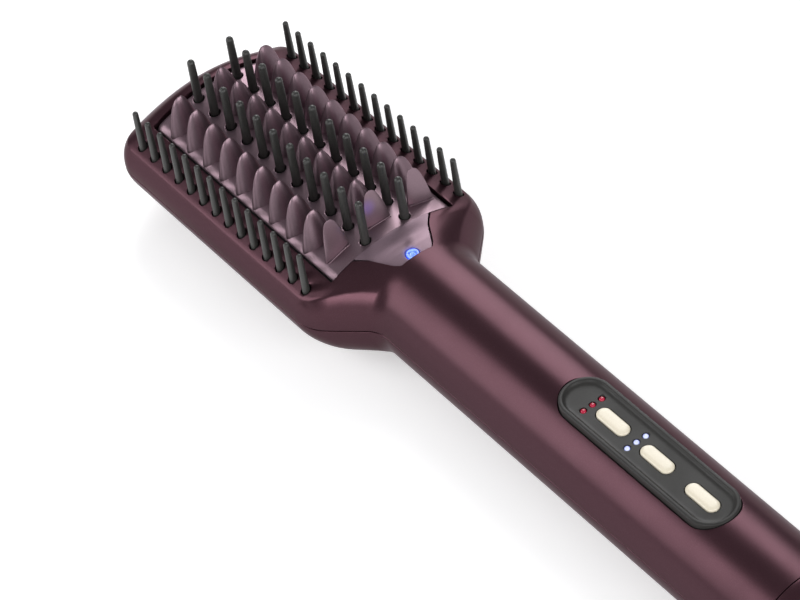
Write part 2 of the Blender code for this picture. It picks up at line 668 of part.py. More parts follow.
def dome_section(half_width, drop, thickness, steps=12):
    """A closed cross section between two lines that follow the dome."""
    xs = [half_width * (2 * index / steps - 1) for index in range(steps + 1)]
    upper = [(x, dome_z(x) - drop) for x in xs]
    lower = [(x, dome_z(x) - drop - thickness) for x in reversed(xs)]
    return upper + lower


def inner_pin_ys():
    """Y of each inner pin, from the handle end to the tip end."""
    return [LAST_PIN_Y + index * PIN_PITCH for index in range(PIN_ROWS)]


def outer_pin_ys():
    """Y of each outer pin, from the handle end to the tip end."""
    return [OUTER_LAST_PIN_Y + index * OUTER_PIN_PITCH for index in range(OUTER_PIN_COUNT)]


def pin(base_radius, tip_radius, base_z, tip_z):
    """A tapering pin with a rounded tip."""
    face_share, bevel_share = PIN_TIP_SHARES
    profile = [(0, tip_z), (tip_radius * face_share, tip_z - tip_radius * bevel_share),
               (tip_radius, tip_z - tip_radius), (base_radius, base_z), (0, base_z)]
    return turned(profile, PIN_SIDES)


def pin_strip(assembly, name, x, ys, bar_x, bar_half_width, bar_top, one_pin):
    """A moulded bar with a row of pins."""
    bar = box((bar_x - bar_half_width, bar_x + bar_half_width),
              (ys[0] - STRIP_END, ys[-1] + STRIP_END), (bar_top - STRIP_THICKNESS, bar_top))
    strip = assembly.add(name, bar, PIN_BLACK)
    assembly.combine(strip, merged(*[moved(one_pin, (x, y, 0)) for y in ys]), "UNION")


def pin_strips(assembly):
    """Two outer rows through the casing and two inner rows through the heating plate."""
    surface = dome_z(OUTER_PIN_X)
    bar_top = surface - OUTER_STRIP_DROP
    outer = pin(OUTER_PIN_BASE_RADIUS, OUTER_PIN_TIP_RADIUS, bar_top - STRIP_THICKNESS / 2,
                surface + OUTER_PIN_RISE)
    inner_top = inner_bar_top()
    inner = pin(INNER_PIN_BASE_RADIUS, INNER_PIN_TIP_RADIUS, inner_top - STRIP_THICKNESS / 2,
                dome_z(INNER_PIN_X) + INNER_PIN_RISE)
    for side, sign in (("left", -1), ("right", 1)):
        bar_x = sign * (OUTER_PIN_X - OUTER_STRIP_SHIFT)
        pin_strip(assembly, "outer_pin_strip_" + side, sign * OUTER_PIN_X, outer_pin_ys(), bar_x,
                  OUTER_STRIP_HALF_WIDTH, bar_top, outer)
        pin_strip(assembly, "inner_pin_strip_" + side, sign * INNER_PIN_X, inner_pin_ys(),
                  sign * INNER_PIN_X, STRIP_HALF_WIDTH, inner_top, inner)


def inner_bar_top():
    """Height of the inner bars, just under the heating plate."""
    return dome_z(INNER_PIN_X + STRIP_HALF_WIDTH) - PLATE_THICKNESS - CLEARANCE


def fin(x, y, apex_z):
    """One petal-shaped fin: lens-shaped levels that shrink towards a rounded apex."""
    shape = bmesh.new()
    levels = []
    for level in FIN_LEVEL_SHARES:
        size = (1 - level ** FIN_PROFILE_POWER_SHARE) ** (1 / FIN_PROFILE_POWER_SHARE)
        ring = []
        ahead = [(along, 1) for along in FIN_ALONG_SHARES]
        behind = [(along, -1) for along in reversed(FIN_ALONG_SHARES[1:-1])]
        for along, side in ahead + behind:
            px = x + FIN_HALF_LENGTH * along * size
            lens = 1 - abs(along) ** FIN_LENS_POWER_SHARE
            py = y - side * FIN_HALF_THICKNESS * lens * size
            foot = dome_z(px) - FIN_SINK
            ring.append(shape.verts.new((px, py, foot + (apex_z - foot) * level)))
        levels.append(ring)
    apex = shape.verts.new((x, y, apex_z))
    count = len(levels[0])
    for lower, upper in zip(levels, levels[1:]):
        for index in range(count):
            following = (index + 1) % count
            shape.faces.new((lower[index], lower[following], upper[following], upper[index]))
    for index in range(count):
        shape.faces.new((levels[-1][index], levels[-1][(index + 1) % count], apex))
    shape.faces.new(levels[0][::-1])
    bmesh.ops.recalc_face_normals(shape, faces=shape.faces)
    return mesh_from(shape)


def heating_plate(assembly):
    """The domed plate with thirty fins, a rib on its underside and holes for the inner pins."""
    plate = long_section(dome_section(PLATE_HALF_WIDTH, 0, PLATE_THICKNESS), (PLATE_NEAR_Y, PLATE_FAR_Y))
    plate = assembly.add("heating_plate", plate, MAUVE)
    rib = box((-PLATE_RIB_HALF_WIDTH, PLATE_RIB_HALF_WIDTH),
              (PLATE_NEAR_Y + PLATE_RIB_MARGIN, PLATE_FAR_Y - PLATE_RIB_MARGIN),
              (RIB_Z, CROWN_Z - PLATE_THICKNESS / 2))
    assembly.combine(plate, rib, "UNION")
    fins = []
    for column, rise in ((-1, SIDE_FIN_APEX_RISE), (0, MIDDLE_FIN_APEX_RISE), (1, SIDE_FIN_APEX_RISE)):
        x = column * FIN_COLUMN_X
        for y in inner_pin_ys()[:-1]:
            fins.append(fin(x, y + PIN_PITCH / 2, dome_z(x) + rise))
    assembly.combine(plate, merged(*fins), "UNION")
    z_range = (RIB_Z, CROWN_Z + CUT_OVERRUN)
    holes = [round_bar(INNER_HOLE_RADIUS, sign * INNER_PIN_X, y, z_range, PIN_SIDES)
             for y in inner_pin_ys() for sign in (-1, 1)]
    assembly.combine(plate, merged(*holes), "DIFFERENCE")


def plate_carrier(assembly):
    """A heat-proof frame under the edges of the plate, with posts for the heater clamp."""
    y_range = (PLATE_NEAR_Y, PLATE_FAR_Y + CARRIER_END_LAP)
    frame = long_section(dome_section(CARRIER_HALF_WIDTH, CARRIER_DROP, CARRIER_THICKNESS), y_range)
    carrier = assembly.add("plate_carrier", frame, RESIN)
    inner_half = PLATE_HALF_WIDTH - CARRIER_INNER_LAP
    window = box((-inner_half, inner_half),
                 (PLATE_NEAR_Y + CARRIER_INNER_LAP, PLATE_FAR_Y - CARRIER_INNER_LAP),
                 (SEAM_Z, CROWN_Z + CUT_OVERRUN))
    assembly.combine(carrier, window, "DIFFERENCE")
    ys = inner_pin_ys()
    room = STRIP_HALF_WIDTH + CLEARANCE
    for sign in (-1, 1):
        notch = box((sign * INNER_PIN_X - room, sign * INNER_PIN_X + room),
                    (ys[0] - STRIP_END - CLEARANCE, ys[-1] + STRIP_END + CLEARANCE),
                    (inner_bar_top() - STRIP_THICKNESS - CLEARANCE, CROWN_Z + CUT_OVERRUN))
        assembly.combine(carrier, notch, "DIFFERENCE")
    post_half = PLATE_RIB_HALF_WIDTH - CLAMP_SCREW_RADIUS
    for y in clamp_screw_ys():
        post = box((-post_half, post_half), (y - CARRIER_INNER_LAP / 2, y + CARRIER_INNER_LAP / 2),
                   (CLAMP_Z + CLEARANCE, CROWN_Z - CARRIER_DROP - CARRIER_THICKNESS / 2))
        assembly.combine(carrier, post, "UNION")
        bore = round_bar(CLAMP_SCREW_RADIUS + CLEARANCE, 0, y,
                         (CLAMP_Z - CUT_OVERRUN, CLAMP_Z + CLAMP_SCREW_LENGTH), 10)
        assembly.combine(carrier, bore, "DIFFERENCE")


def clamp_screw_ys():
    """Y of the two screws that hold the heater clamp."""
    return (PLATE_NEAR_Y + CARRIER_INNER_LAP / 2 + CLEARANCE, PLATE_FAR_Y - CARRIER_INNER_LAP / 2)


def screw(radius, head_radius, head_height, z_head, z_tip, head_up=False):
    """A pan-head screw standing upright."""
    direction = -1 if head_up else 1
    back = z_head - direction * head_height
    face_share, edge_share = SCREW_HEAD_SHARES
    edge = back + direction * head_height * edge_share
    profile = [(0, back), (head_radius * face_share, back), (head_radius, edge),
               (head_radius, z_head), (radius, z_head), (radius, z_tip), (0, z_tip)]
    return turned(profile, 8)


def heater_stack(assembly):
    """Two heating elements between electrodes, pressed to the plate by a spring clamp."""
    start = PLATE_MIDDLE_Y - HEATERS_LENGTH / 2
    end = PLATE_MIDDLE_Y + HEATERS_LENGTH / 2
    width = (-HEATER_HALF_WIDTH, HEATER_HALF_WIDTH)
    for index, place in enumerate(("near", "far")):
        y = start + index * (HEATER_LENGTH + HEATER_SPACING)
        element = box(width, (y, y + HEATER_LENGTH), (HEATER_Z - HEATER_THICKNESS, HEATER_Z))
        assembly.add("heating_element_" + place, element, CERAMIC)
    for name, top in (("upper_electrode", UPPER_ELECTRODE_Z), ("lower_electrode", LOWER_ELECTRODE_Z)):
        sheet = box(width, (start - HEATER_SPACING, end), (top - ELECTRODE_THICKNESS, top))
        assembly.add(name, sheet, BRASS)
    pad = box((-CLAMP_HALF_WIDTH, CLAMP_HALF_WIDTH), (start - HEATER_SPACING, end + HEATER_SPACING),
              (INSULATION_Z - INSULATION_THICKNESS, INSULATION_Z))
    assembly.add("insulating_pad", pad, MICA)
    screw_ys = clamp_screw_ys()
    clamp = box((-CLAMP_HALF_WIDTH, CLAMP_HALF_WIDTH),
                (screw_ys[0] - CARRIER_INNER_LAP / 2, screw_ys[1] + CARRIER_INNER_LAP / 2),
                (CLAMP_Z - CLAMP_THICKNESS, CLAMP_Z))
    clamp = assembly.add("heater_clamp", clamp, STEEL)
    one = screw(CLAMP_SCREW_RADIUS, SCREW_HEAD_RADIUS, SCREW_HEAD_HEIGHT, CLAMP_SCREW_Z,
                CLAMP_Z + CLAMP_SCREW_LENGTH - CLEARANCE * 2)
    for place, y in zip(("near", "far"), screw_ys):
        hole = round_bar(CLAMP_SCREW_RADIUS + CLEARANCE, 0, y,
                         (CLAMP_SCREW_Z - CUT_OVERRUN, CLAMP_Z + CUT_OVERRUN), 10)
        assembly.combine(clamp, hole, "DIFFERENCE")
        assembly.add("clamp_screw_" + place, moved(one, (0, y, 0)), STEEL)


def heat_sensors(assembly):
    """The thermistor and the thermal fuse under the plate, and the shield over the back shell."""
    reach = (PLATE_MIDDLE_Y - SENSOR_LENGTH / 2, PLATE_MIDDLE_Y + SENSOR_LENGTH / 2)
    z = dome_z(SENSOR_X + SENSOR_RADIUS) - PLATE_THICKNESS - CLEARANCE - SENSOR_RADIUS
    assembly.add("thermistor", lying_bar(SENSOR_RADIUS, SENSOR_X, reach, z), CLEAR)
    reach = (PLATE_MIDDLE_Y - FUSE_LENGTH / 2, PLATE_MIDDLE_Y + FUSE_LENGTH / 2)
    z = dome_z(SENSOR_X + FUSE_RADIUS) - PLATE_THICKNESS - CLEARANCE - FUSE_RADIUS
    assembly.add("thermal_fuse", lying_bar(FUSE_RADIUS, -SENSOR_X, reach, z), STEEL)
    shield = box((-SHIELD_HALF_WIDTH, SHIELD_HALF_WIDTH),
                 (PLATE_MIDDLE_Y - SHIELD_LENGTH / 2, PLATE_MIDDLE_Y + SHIELD_LENGTH / 2),
                 (SHIELD_TOP_Z - SHIELD_THICKNESS, SHIELD_TOP_Z))
    assembly.add("heat_shield", shield, MICA)


def casing_shell(assembly, name, station, flip):
    """One half of the casing: a lofted half surface, mirrored and given its wall."""
    strips = [station(point, inward) for point, inward in with_inward_normals(seam_outline())]
    obj = assembly.add(name, loft_mesh(name, strips, flip), PLUM)
    mirror = obj.modifiers.new("Mirror", "MIRROR")
    mirror.merge_threshold = CLEARANCE / 10
    solidify = obj.modifiers.new("Wall", "SOLIDIFY")
    solidify.thickness = CASING_WALL
    solidify.offset = -1
    solidify.use_even_offset = True
    return obj


def apron_outline(margin):
    """Plan outline of the apron between the plate and the handle, grown by a margin."""
    waist_y = APRON_START_Y - APRON_LENGTH * APRON_WAIST_SHARE
    right = [(APRON_MOUTH_HALF_WIDTH + margin, APRON_START_Y),
             (APRON_WAIST_HALF_WIDTH + margin, waist_y),
             (APRON_END_HALF_WIDTH + margin, APRON_END_Y + OUTLET_RADIUS),
             (APRON_END_HALF_WIDTH - OUTLET_RADIUS / 2 + margin / 2, APRON_END_Y - margin)]
    return right + [(-x, y) for x, y in reversed(right)]


def casing(assembly):
    """The two casing shells with their bosses, posts and openings."""
    front = casing_shell(assembly, "front_shell", front_station, False)
    back = casing_shell(assembly, "back_shell", back_station, True)
    seam = (SEAM_Z - HALF_CLEARANCE, SEAM_Z + HALF_CLEARANCE)
    front_bosses = [round_bar(BOSS_RADIUS, 0, y, (seam[1], CROWN_Z - CASING_WALL / 2)) for y in BOSS_YS]
    back_bosses = [round_bar(BOSS_RADIUS, 0, y, (CASING_WALL / 2, seam[0])) for y in BOSS_YS]
    posts = [round_bar(BOARD_POST_RADIUS, x, y, (BOARD_TOP_Z + CLEARANCE, INLAY_BOTTOM_Z), 12)
             for x, y in BOARD_POSTS]
    power_posts = [round_bar(POWER_POST_RADIUS, 0, y, (CASING_WALL / 2, POWER_BOARD_Z - CLEARANCE))
                   for y in POWER_POST_YS]
    ribs = [box((-SHIELD_RIB_HALF_WIDTH, SHIELD_RIB_HALF_WIDTH),
                (y - SHIELD_RIB_THICKNESS / 2, y + SHIELD_RIB_THICKNESS / 2),
                (CASING_WALL / 2, SHIELD_TOP_Z - SHIELD_THICKNESS - CLEARANCE))
            for y in (PLATE_MIDDLE_Y - SHIELD_LENGTH / 3, PLATE_MIDDLE_Y + SHIELD_LENGTH / 3)]
    assembly.combine(front, merged(*front_bosses, *posts), "UNION")
    assembly.combine(back, merged(*back_bosses, *power_posts, *ribs), "UNION")
    cut_front_openings(assembly, front)
    bores = [round_bar(SCREW_RADIUS + CLEARANCE, 0, y,
                       (SEAM_Z - CUT_OVERRUN, SEAM_Z + SCREW_BITE + CLEARANCE * 2), 10) for y in BOSS_YS]
    bores += [round_bar(BOARD_SCREW_RADIUS + CLEARANCE, x, y,
                        (BOARD_BOTTOM_Z, INLAY_BOTTOM_Z - BOARD_SCREW_RADIUS), 8) for x, y in BOARD_POSTS]
    assembly.combine(front, merged(*bores), "DIFFERENCE")
    wells = [round_bar(SCREW_HEAD_RADIUS + CLEARANCE, 0, y,
                       (-CUT_OVERRUN, SCREW_HEAD_DEPTH - CLEARANCE), 12) for y in BOSS_YS]
    assembly.combine(back, merged(*wells), "DIFFERENCE")
    bores = [round_bar(BOSS_BORE_RADIUS, 0, y, (SCREW_HEAD_DEPTH - CUT_OVERRUN / 2, SEAM_Z + CUT_OVERRUN), 10)
             for y in BOSS_YS]
    bores += [round_bar(CLAMP_SCREW_RADIUS + CLEARANCE, 0, y, (CASING_WALL, SEAM_Z), 10)
              for y in POWER_POST_YS]
    assembly.combine(back, merged(*bores), "DIFFERENCE")
    one = screw(SCREW_RADIUS, SCREW_HEAD_RADIUS, SCREW_HEAD_HEIGHT, SCREW_HEAD_DEPTH - CLEARANCE * 2,
                SEAM_Z + SCREW_BITE)
    for place, y in zip(("neck", "middle", "tail"), BOSS_YS):
        assembly.add("casing_screw_" + place, moved(one, (0, y, 0)), STEEL)


def cut_front_openings(assembly, front):
    """Cut the openings for the plate, the apron, the control inlay and the outer pins."""
    deep = (SEAM_Z + CUT_OVERRUN * 2, CROWN_Z + CUT_OVERRUN)
    plate = box((-OPENING_HALF_WIDTH, OPENING_HALF_WIDTH),
                (APRON_START_Y, PLATE_FAR_Y + PLATE_GAP), deep)
    mouth = APRON_MOUTH_HALF_WIDTH + CLEARANCE
    mouth_y = APRON_START_Y + CLEARANCE
    apron = prism([(mouth, mouth_y), *apron_outline(CLEARANCE), (-mouth, mouth_y)], deep)
    assembly.combine(front, plate, "DIFFERENCE")
    assembly.combine(front, apron, "DIFFERENCE")
    inlay = prism(racetrack(INLAY_HALF_WIDTH + CLEARANCE, INLAY_FRONT_Y + CLEARANCE, INLAY_END_Y - CLEARANCE),
                  (BOARD_TOP_Z, CROWN_Z + CUT_OVERRUN))
    assembly.combine(front, inlay, "DIFFERENCE")
    radius = OUTER_PIN_BASE_RADIUS + PIN_CLEARANCE
    through = (CREASE_Z - CUT_OVERRUN, CREASE_Z + CUT_OVERRUN)
    holes = [round_bar(radius, sign * OUTER_PIN_X, y, through, PIN_SIDES)
             for y in outer_pin_ys() for sign in (-1, 1)]
    assembly.combine(front, merged(*holes), "DIFFERENCE")


def ion_parts(assembly):
    """The apron with its ion outlet, and the needle, holder and generator behind it."""
    bottom = CROWN_Z - APRON_DEPTH
    apron = assembly.add("ion_apron", prism(apron_outline(0), (bottom, CROWN_Z + CUT_OVERRUN)), MAUVE)
    shape = bmesh.new()
    bmesh.ops.create_cone(shape, cap_ends=True, segments=96, radius1=DOME_RADIUS, radius2=DOME_RADIUS,
                          depth=APRON_LENGTH * 4)
    bmesh.ops.rotate(shape, cent=(0, 0, 0), matrix=Matrix.Rotation(math.pi / 2 + APRON_ANGLE, 3, "X"),
                     verts=shape.verts)
    bmesh.ops.translate(shape, vec=(0, APRON_START_Y, CROWN_Z - DOME_RADIUS / math.cos(APRON_ANGLE)),
                        verts=shape.verts)
    assembly.combine(apron, mesh_from(shape), "INTERSECT")
    through = (bottom - CUT_OVERRUN, CROWN_Z + CUT_OVERRUN)
    assembly.combine(apron, round_bar(OUTLET_RADIUS + CLEARANCE, 0, OUTLET_Y, through), "DIFFERENCE")
    surface = CROWN_Z - (APRON_START_Y - OUTLET_Y) * APRON_SLOPE_SHARE
    ring_profile = [(OUTLET_BORE_RADIUS, surface + OUTLET_STAND), (OUTLET_RADIUS, surface + OUTLET_STAND),
                    (OUTLET_RADIUS, bottom), (OUTLET_BORE_RADIUS, bottom),
                    (OUTLET_BORE_RADIUS, surface + OUTLET_STAND)]
    assembly.add("ion_outlet", moved(turned(ring_profile, 16), (0, OUTLET_Y, 0)), CLEAR)
    holder_top = bottom - CLEARANCE
    bore = NEEDLE_RADIUS + CLEARANCE
    holder_bottom = holder_top - HOLDER_THICKNESS
    holder = [(bore, holder_top), (HOLDER_RADIUS, holder_top), (HOLDER_RADIUS, holder_bottom),
              (bore, holder_bottom), (bore, holder_top)]
    assembly.add("needle_holder", moved(turned(holder, 12), (0, OUTLET_Y, 0)), RESIN)
    needle_bottom = holder_bottom - NEEDLE_RADIUS * 2
    straight = NEEDLE_LENGTH * NEEDLE_STRAIGHT_SHARE
    needle = [(0, needle_bottom + NEEDLE_LENGTH), (NEEDLE_RADIUS, needle_bottom + straight),
              (NEEDLE_RADIUS, needle_bottom), (0, needle_bottom)]
    assembly.add("ion_needle", moved(turned(needle, 8), (0, OUTLET_Y, 0)), STEEL)
    block = box((-ION_BLOCK_HALF_WIDTH, ION_BLOCK_HALF_WIDTH), ion_block_ys(), ion_block_zs())
    assembly.add("ion_generator", block, RESIN)
    route = [(0, OUTLET_Y, ion_block_zs()[1] + CLEARANCE),
             (0, OUTLET_Y, needle_bottom - CLEARANCE)]
    assembly.add("ion_lead", wire(route, SIGNAL_WIRE_RADIUS), WIRE_WHITE)


def ion_block_ys():
    """Y range of the ion generator, between the neck boss and the head."""
    near = BOSS_YS[0] + BOSS_RADIUS + CLEARANCE * 3
    return (near, near + ION_BLOCK_LENGTH)


def ion_block_zs():
    """Height range of the ion generator, which stands on the back shell's curve."""
    inner = HANDLE_RADIUS - CASING_WALL
    low = SEAM_Z - math.sqrt(inner ** 2 - ION_BLOCK_HALF_WIDTH ** 2) + 2 * CLEARANCE
    return (low, low + ION_BLOCK_HEIGHT)


def controls(assembly):
    """The inlay with its three buttons, light guides, switches and the control board."""
    outline = racetrack(INLAY_HALF_WIDTH, INLAY_FRONT_Y, INLAY_END_Y)
    inlay = assembly.add("control_inlay", prism(outline, (INLAY_BOTTOM_Z, INLAY_RIM_Z)), GREY)
    dish = racetrack(INLAY_HALF_WIDTH - INLAY_RIM, INLAY_FRONT_Y - INLAY_RIM, INLAY_END_Y + INLAY_RIM)
    assembly.combine(inlay, prism(dish, (INLAY_FLOOR_Z, INLAY_RIM_Z + CUT_OVERRUN)), "DIFFERENCE")
    hollow = racetrack(INLAY_HALF_WIDTH - INLAY_WALL, INLAY_FRONT_Y - INLAY_WALL, INLAY_END_Y + INLAY_WALL)
    assembly.combine(inlay, prism(hollow, (INLAY_BOTTOM_Z - CUT_OVERRUN, INLAY_UNDERSIDE_Z)), "DIFFERENCE")
    through = (INLAY_BOTTOM_Z, INLAY_RIM_Z + CUT_OVERRUN)
    holes = []
    for name, y in zip(BUTTON_NAMES, BUTTON_YS):
        front = y + BUTTON_LENGTH / 2 + CLEARANCE
        end = y - BUTTON_LENGTH / 2 - CLEARANCE
        holes.append(prism(racetrack(BUTTON_HALF_WIDTH + CLEARANCE, front, end, 6), through))
        push_button(assembly, name, y)
        push_switch(assembly, name, y)
    for name, y in zip(BUTTON_NAMES[:2], BUTTON_YS):
        row_y = y + LIGHT_SETBACK
        xs = [index * LIGHT_SPACING for index in (-1, 0, 1)]
        holes += [round_bar(LIGHT_RADIUS + CLEARANCE, x, row_y, through, 8) for x in xs]
        lights(assembly, name, row_y, xs)
    assembly.combine(inlay, merged(*holes), "DIFFERENCE")
    control_board(assembly)


def push_button(assembly, name, y):
    """A long button with a flange that keeps it under the inlay; its origin is on its slide."""
    front, end = y + BUTTON_LENGTH / 2, y - BUTTON_LENGTH / 2
    cap = prism(racetrack(BUTTON_HALF_WIDTH, front, end, 6),
                (FLANGE_TOP_Z - BUTTON_FLANGE_THICKNESS / 2, INLAY_FLOOR_Z + BUTTON_STAND))
    rim = racetrack(BUTTON_HALF_WIDTH + BUTTON_FLANGE, front + BUTTON_FLANGE, end - BUTTON_FLANGE, 6)
    flange = prism(rim, (BUTTON_BOTTOM_Z, FLANGE_TOP_Z))
    origin = Vector((0, y, FLANGE_TOP_Z))
    button = assembly.add(name + "_button", moved(flange, -origin), CREAM)
    button.location = origin
    assembly.combine(button, cap, "UNION")


def push_switch(assembly, name, y):
    """A square push switch on the control board under a button."""
    half = SWITCH_SIZE / 2
    top = SWITCH_BOTTOM_Z + SWITCH_HEIGHT
    body = box((-half, half), (y - half, y + half), (SWITCH_BOTTOM_Z, top))
    switch = assembly.add(name + "_switch", body, RESIN)
    plunger = round_bar(PLUNGER_RADIUS, 0, y, (top - PLUNGER_HEIGHT, PLUNGER_TOP_Z), 10)
    assembly.combine(switch, plunger, "UNION")


def lights(assembly, name, row_y, xs):
    """A clear light guide with three heads in the inlay, and the lamp strip below it."""
    bar = box((xs[0] - LIGHT_BAR_HALF_WIDTH, xs[-1] + LIGHT_BAR_HALF_WIDTH),
              (row_y - LIGHT_BAR_HALF_WIDTH, row_y + LIGHT_BAR_HALF_WIDTH),
              (FLANGE_TOP_Z - LIGHT_BAR_THICKNESS, FLANGE_TOP_Z))
    guide = assembly.add(name + "_light_guide", bar, CLEAR)
    heads = [round_bar(LIGHT_RADIUS, x, row_y, (FLANGE_TOP_Z - LIGHT_BAR_THICKNESS / 2,
                                                INLAY_FLOOR_Z + LIGHT_STAND), 8) for x in xs]
    assembly.combine(guide, merged(*heads), "UNION")
    half = LED_SIZE / 2
    strip = box((xs[0] - half, xs[-1] + half), (row_y - half, row_y + half),
                (SWITCH_BOTTOM_Z, SWITCH_BOTTOM_Z + LED_HEIGHT))
    assembly.add(name + "_lamps", strip, CLEAR)


def control_board(assembly):
    """The board under the inlay with its controller and two screws."""
    board = box((-BOARD_HALF_WIDTH, BOARD_HALF_WIDTH), (BOARD_END_Y, BOARD_FRONT_Y),
                (BOARD_BOTTOM_Z, BOARD_TOP_Z))
    board = assembly.add("control_board", board, BOARD_GREEN)
    z_head = BOARD_BOTTOM_Z - CLEARANCE
    one = screw(BOARD_SCREW_RADIUS, BOARD_SCREW_HEAD_RADIUS, BOARD_SCREW_RADIUS, z_head,
                INLAY_BOTTOM_Z - BOARD_SCREW_RADIUS * 2)
    holes = []
    for place, (x, y) in zip(("near", "far"), BOARD_POSTS):
        holes.append(round_bar(BOARD_SCREW_RADIUS + CLEARANCE, x, y,
                               (BOARD_BOTTOM_Z - CUT_OVERRUN, BOARD_TOP_Z + CUT_OVERRUN), 8))
        assembly.add("board_screw_" + place, moved(one, (x, y, 0)), STEEL)
    assembly.combine(board, merged(*holes), "DIFFERENCE")
    y = BUTTON_YS[2]
    chip = box((-CHIP_SIZE / 2, CHIP_SIZE / 2), (y - CHIP_SIZE / 2, y + CHIP_SIZE / 2),
               (z_head - CHIP_HEIGHT, z_head))
    assembly.add("controller_chip", chip, RESIN)


def power_supply(assembly):
    """The power board on two posts of the back shell, with its larger components."""
    end = POWER_BOARD_Y - POWER_BOARD_LENGTH
    board = box((-POWER_BOARD_HALF_WIDTH, POWER_BOARD_HALF_WIDTH), (end, POWER_BOARD_Y),
                (POWER_BOARD_Z, POWER_BOARD_TOP_Z))
    board = assembly.add("power_board", board, BOARD_GREEN)
    z_head = POWER_BOARD_TOP_Z + CLEARANCE
    one = screw(CLAMP_SCREW_RADIUS, SCREW_HEAD_RADIUS, SCREW_HEAD_HEIGHT, z_head,
                CASING_WALL + CLEARANCE * 2, head_up=True)
    holes = []
    for place, y in zip(("near", "far"), POWER_POST_YS):
        holes.append(round_bar(CLAMP_SCREW_RADIUS + CLEARANCE, 0, y,
                               (POWER_BOARD_Z - CUT_OVERRUN, POWER_BOARD_TOP_Z + CUT_OVERRUN), 10))
        assembly.add("power_board_screw_" + place, moved(one, (0, y, 0)), STEEL)
    assembly.combine(board, merged(*holes), "DIFFERENCE")
    parts = (("film_capacitor", FILM_CAPACITOR_SIZE, WIRE_WHITE),
             ("smoothing_capacitor", CAPACITOR_SIZE, RESIN),
             ("heater_triac", TRIAC_SIZE, RESIN), ("terminal_block", TERMINAL_SIZE, WIRE_BLUE))
    room = POWER_POST_YS[0] - POWER_POST_YS[1] - 2 * POWER_POST_RADIUS
    gap = (room - sum(size[1] for _, size, _ in parts)) / (len(parts) + 1)
    front = POWER_POST_YS[0] - POWER_POST_RADIUS
    for name, size, finish in parts:
        y = front - gap - size[1] / 2
        component(assembly, name, size, y, z_head, finish)
        front = y - size[1] / 2


def component(assembly, name, size, y, bottom, finish):
    """A component standing on the power board: a can where its plan is square, else a box."""
    width, length, height = size
    shape = box((-width / 2, width / 2), (y - length / 2, y + length / 2), (bottom, bottom + height))
    if width == length:
        shape = round_bar(width / 2, 0, y, (bottom, bottom + height))
    assembly.add(name, shape, finish)


def tail(assembly):
    """The end cap that closes the handle, and the gland that turns in it with the cord."""
    joint = TAIL_Y - CLEARANCE
    spigot = HANDLE_RADIUS - CASING_WALL - 2 * CLEARANCE
    inner = spigot - CAP_WALL / 2
    hole = GLAND_RADIUS + CLEARANCE
    length = END_CAP_LENGTH - CLEARANCE
    outside = [(HANDLE_RADIUS * radius, -length * along) for radius, along in CAP_OUTLINE_SHARES]
    profile = [(spigot, SPIGOT_LENGTH), (spigot, 0), *outside, (hole, -length), (hole, CAP_WALL - length),
               (inner, CAP_WALL - length), (inner, SPIGOT_LENGTH), (spigot, SPIGOT_LENGTH)]
    turn = Matrix.Rotation(-math.pi / 2, 4, "X")
    axis = Vector((0, joint, SEAM_Z))
    assembly.add("end_cap", moved(turned(profile, 24), axis, turn), PLUM)
    inner_face = CAP_WALL - length
    groove = inner_face + CLEARANCE
    inside = groove + GLAND_INSIDE - CAP_WALL
    groove_end = groove + CLIP_THICKNESS + CLEARANCE
    groove_radius = GLAND_RADIUS - CLIP_GROOVE
    shoulder = -length - CLEARANCE
    nose = [(GLAND_BORE_RADIUS, inside), (GLAND_RADIUS, inside), (GLAND_RADIUS, groove_end),
            (groove_radius, groove_end), (groove_radius, groove), (GLAND_RADIUS, groove),
            (GLAND_RADIUS, shoulder), (GLAND_NOSE_RADIUS, shoulder),
            (GLAND_NOSE_RADIUS, -length - GLAND_LENGTH * GLAND_STRAIGHT_SHARE),
            (GLAND_TIP_RADIUS, -length - GLAND_LENGTH), (GLAND_BORE_RADIUS, -length - GLAND_LENGTH),
            (GLAND_BORE_RADIUS, inside)]
    gland = assembly.add("cord_gland", moved(turned(nose, 16), (0, 0, 0), turn), RESIN)
    gland.location = axis
    bore = groove_radius + CLEARANCE
    clip_end = groove + CLIP_THICKNESS
    ring = [(bore, clip_end), (CLIP_RADIUS, clip_end), (CLIP_RADIUS, groove + CLEARANCE),
            (bore, groove + CLEARANCE), (bore, clip_end)]
    clip = assembly.add("gland_clip", moved(turned(ring, 16), (0, 0, 0), turn), STEEL)
    clip.location = axis


